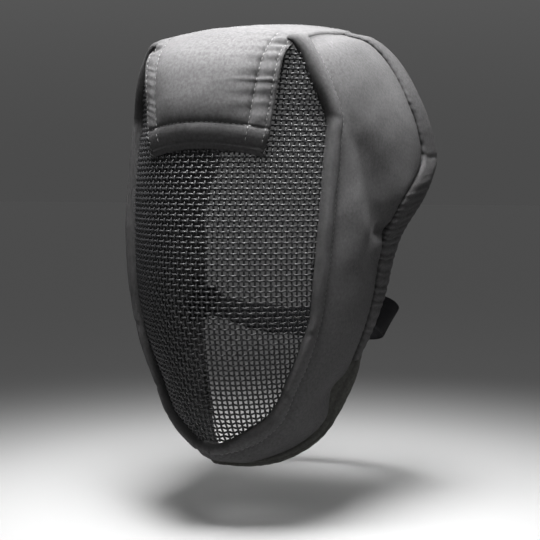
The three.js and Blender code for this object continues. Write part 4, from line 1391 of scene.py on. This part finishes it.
def strap_rings():
    """Flat sections along the strap, leaned about the way along, with fine ribs."""
    left = [(tuple(under_panel(share)), lean) for share, lean in SEWN] + NAPE
    right = [((-x, y, z), lean) for (x, y, z), lean in left[-2::-1]]
    table = left + right
    rows = np.linspace(0, len(table) - 1, STRAP["rows"])
    line = spline([row[0] for row in table], rows)
    tangent = unit(np.gradient(line, axis=0))
    lean = np.radians(column([row[1] for row in table], rows))[:, None]
    level = unit(np.cross(tangent, UP))
    out = level * np.cos(lean) + np.cross(tangent, level) * np.sin(lean)
    up = np.cross(out, tangent)
    width = np.linspace(-1, 1, STRAP["points"])
    deep = STRAP["thin"] * np.sqrt(np.clip(1 - np.abs(width) ** STRAP["square"], STRAP["edge"], 1))
    deep = deep - STRAP["rib_deep"] * np.abs(np.sin(math.pi * width * STRAP["half"] / STRAP["rib"]))
    middle = line[:, None] + up[:, None] * (STRAP["half"] * width)[None, :, None]
    rise = out[:, None] * deep[None, :, None]
    print("strap length", round(way_along(line)[-1], 1), "mm")
    return np.concatenate([middle + rise, (middle - rise)[:, ::-1]], axis=1)


strap = strap_rings()
plain = np.zeros(strap.shape[:2])
skin("webbing_strap", draw_together(strap, 0.4), plain, WEBBING, ["rear_strap"])

# %% [markdown]
# ## Thread
# Rows of pale stitches show on the flap, and darker ones on the seam of the rim. Each stitch is a short
# bead of thread that dips into the cloth at both ends. An array along a curve could repeat one bead. Here
# the beads are worked out together, like the wires, and lie on the finished surface of the cloth. All the
# stitches of a row are one mesh.

# %% Rows of stitches
STITCH = {"long": 2.1, "gap": 1.2, "radius": 0.22, "sides": 6, "start": 0.6}
BEAD = np.array([
    # share of the stitch, share of the radius, rise above the cloth
    (0.0, 0.45, -0.25), (0.18, 0.95, 0.10), (0.5, 1.0, 0.18), (0.82, 0.95, 0.10), (1.0, 0.45, -0.25),
])
RIM_THREAD = {"first": 27, "before_end": 12, "point": 3.2}
FLAP_THREAD = {"from": 4, "to": 84, "hem_inset": 4}


def thread_row(name, path, outward, thread, mirrored=False):
    """Short tubes along a path, thinner at their ends, that rise from the cloth in the middle."""
    way = way_along(path)
    starts = np.arange(STITCH["start"], way[-1] - STITCH["long"], STITCH["long"] + STITCH["gap"])
    share, swell, rise = BEAD.T
    at = starts[:, None] + STITCH["long"] * share
    centre, normal = (np.stack([np.interp(at, way, line[:, k]) for k in range(3)], axis=-1)
                      for line in (path, outward))
    normal = unit(normal)
    centre = centre + normal * rise[None, :, None]
    tube = tube_rings(centre, normal, STITCH["radius"] * swell[None, :, None, None], STITCH["sides"])
    tube_mesh(name, tube, np.ones(tube.shape[:2], bool), thread, [], mirrored=mirrored)


def ring_path(rings, place):
    """Line along a stack of rings at a place between two ring points, and its outward direction."""
    low = int(place)
    path = rings[:, low] * (1 - place + low) + rings[:, low + 1] * (place - low)
    return path, unit(path - rings.mean(axis=1))


def slab_path(grid, outward, column_numbers):
    """Line on the outer face of a padded sheet, at one place between columns for each row."""
    rows = np.arange(len(grid))
    low = np.floor(column_numbers).astype(int)
    part = (column_numbers - low)[:, None]
    return grid[rows, low] * (1 - part) + grid[rows, low + 1] * part, outward[rows, low]


sewn_rim = rim[RIM_THREAD["first"]:RIM["rows"] - RIM_THREAD["before_end"]]
rim_path, rim_out = ring_path(sewn_rim, RIM_THREAD["point"])
for side, mirrored in (("left", False), ("right", True)):
    thread_row(f"rim_stitches_{side}", rim_path, rim_out, DARK_THREAD, mirrored)

lifted = strip + strip_out * relief[..., None]
front = np.flatnonzero((along[:, 0] > FLAP_THREAD["from"]) & (along[:, 0] < FLAP_THREAD["to"]))
for label, distance in (("edge", FLAP["edge_stitch"]), ("channel", FLAP["channel"])):
    for side in ("right", "left"):
        wanted = 2 * half[front] - distance if side == "left" else distance + 0 * half[front]
        spot = np.array([np.interp(w, way[r], np.arange(way.shape[1])) for r, w in zip(front, wanted)])
        path, out = slab_path(lifted[front], strip_out[front], spot)
        thread_row(f"flap_{label}_stitches_{side}", path, out, PALE_THREAD)

hem_row = int(np.argmin(np.abs(along[:, 0] - FLAP["hem_stitch"])))
inset = EDGE["steps"] + FLAP_THREAD["hem_inset"]
thread_row("flap_hem_stitches", lifted[hem_row, inset:-inset], strip_out[hem_row, inset:-inset], PALE_THREAD)

# %% [markdown]
# ## Closing
# The box of the solids is printed. The visual model may stand a little proud of the solids, but not more.

# %% Sizes and finish
print("CAD box", [tuple(round(c, 4) for c in corner) for corner in CAD_BOX])
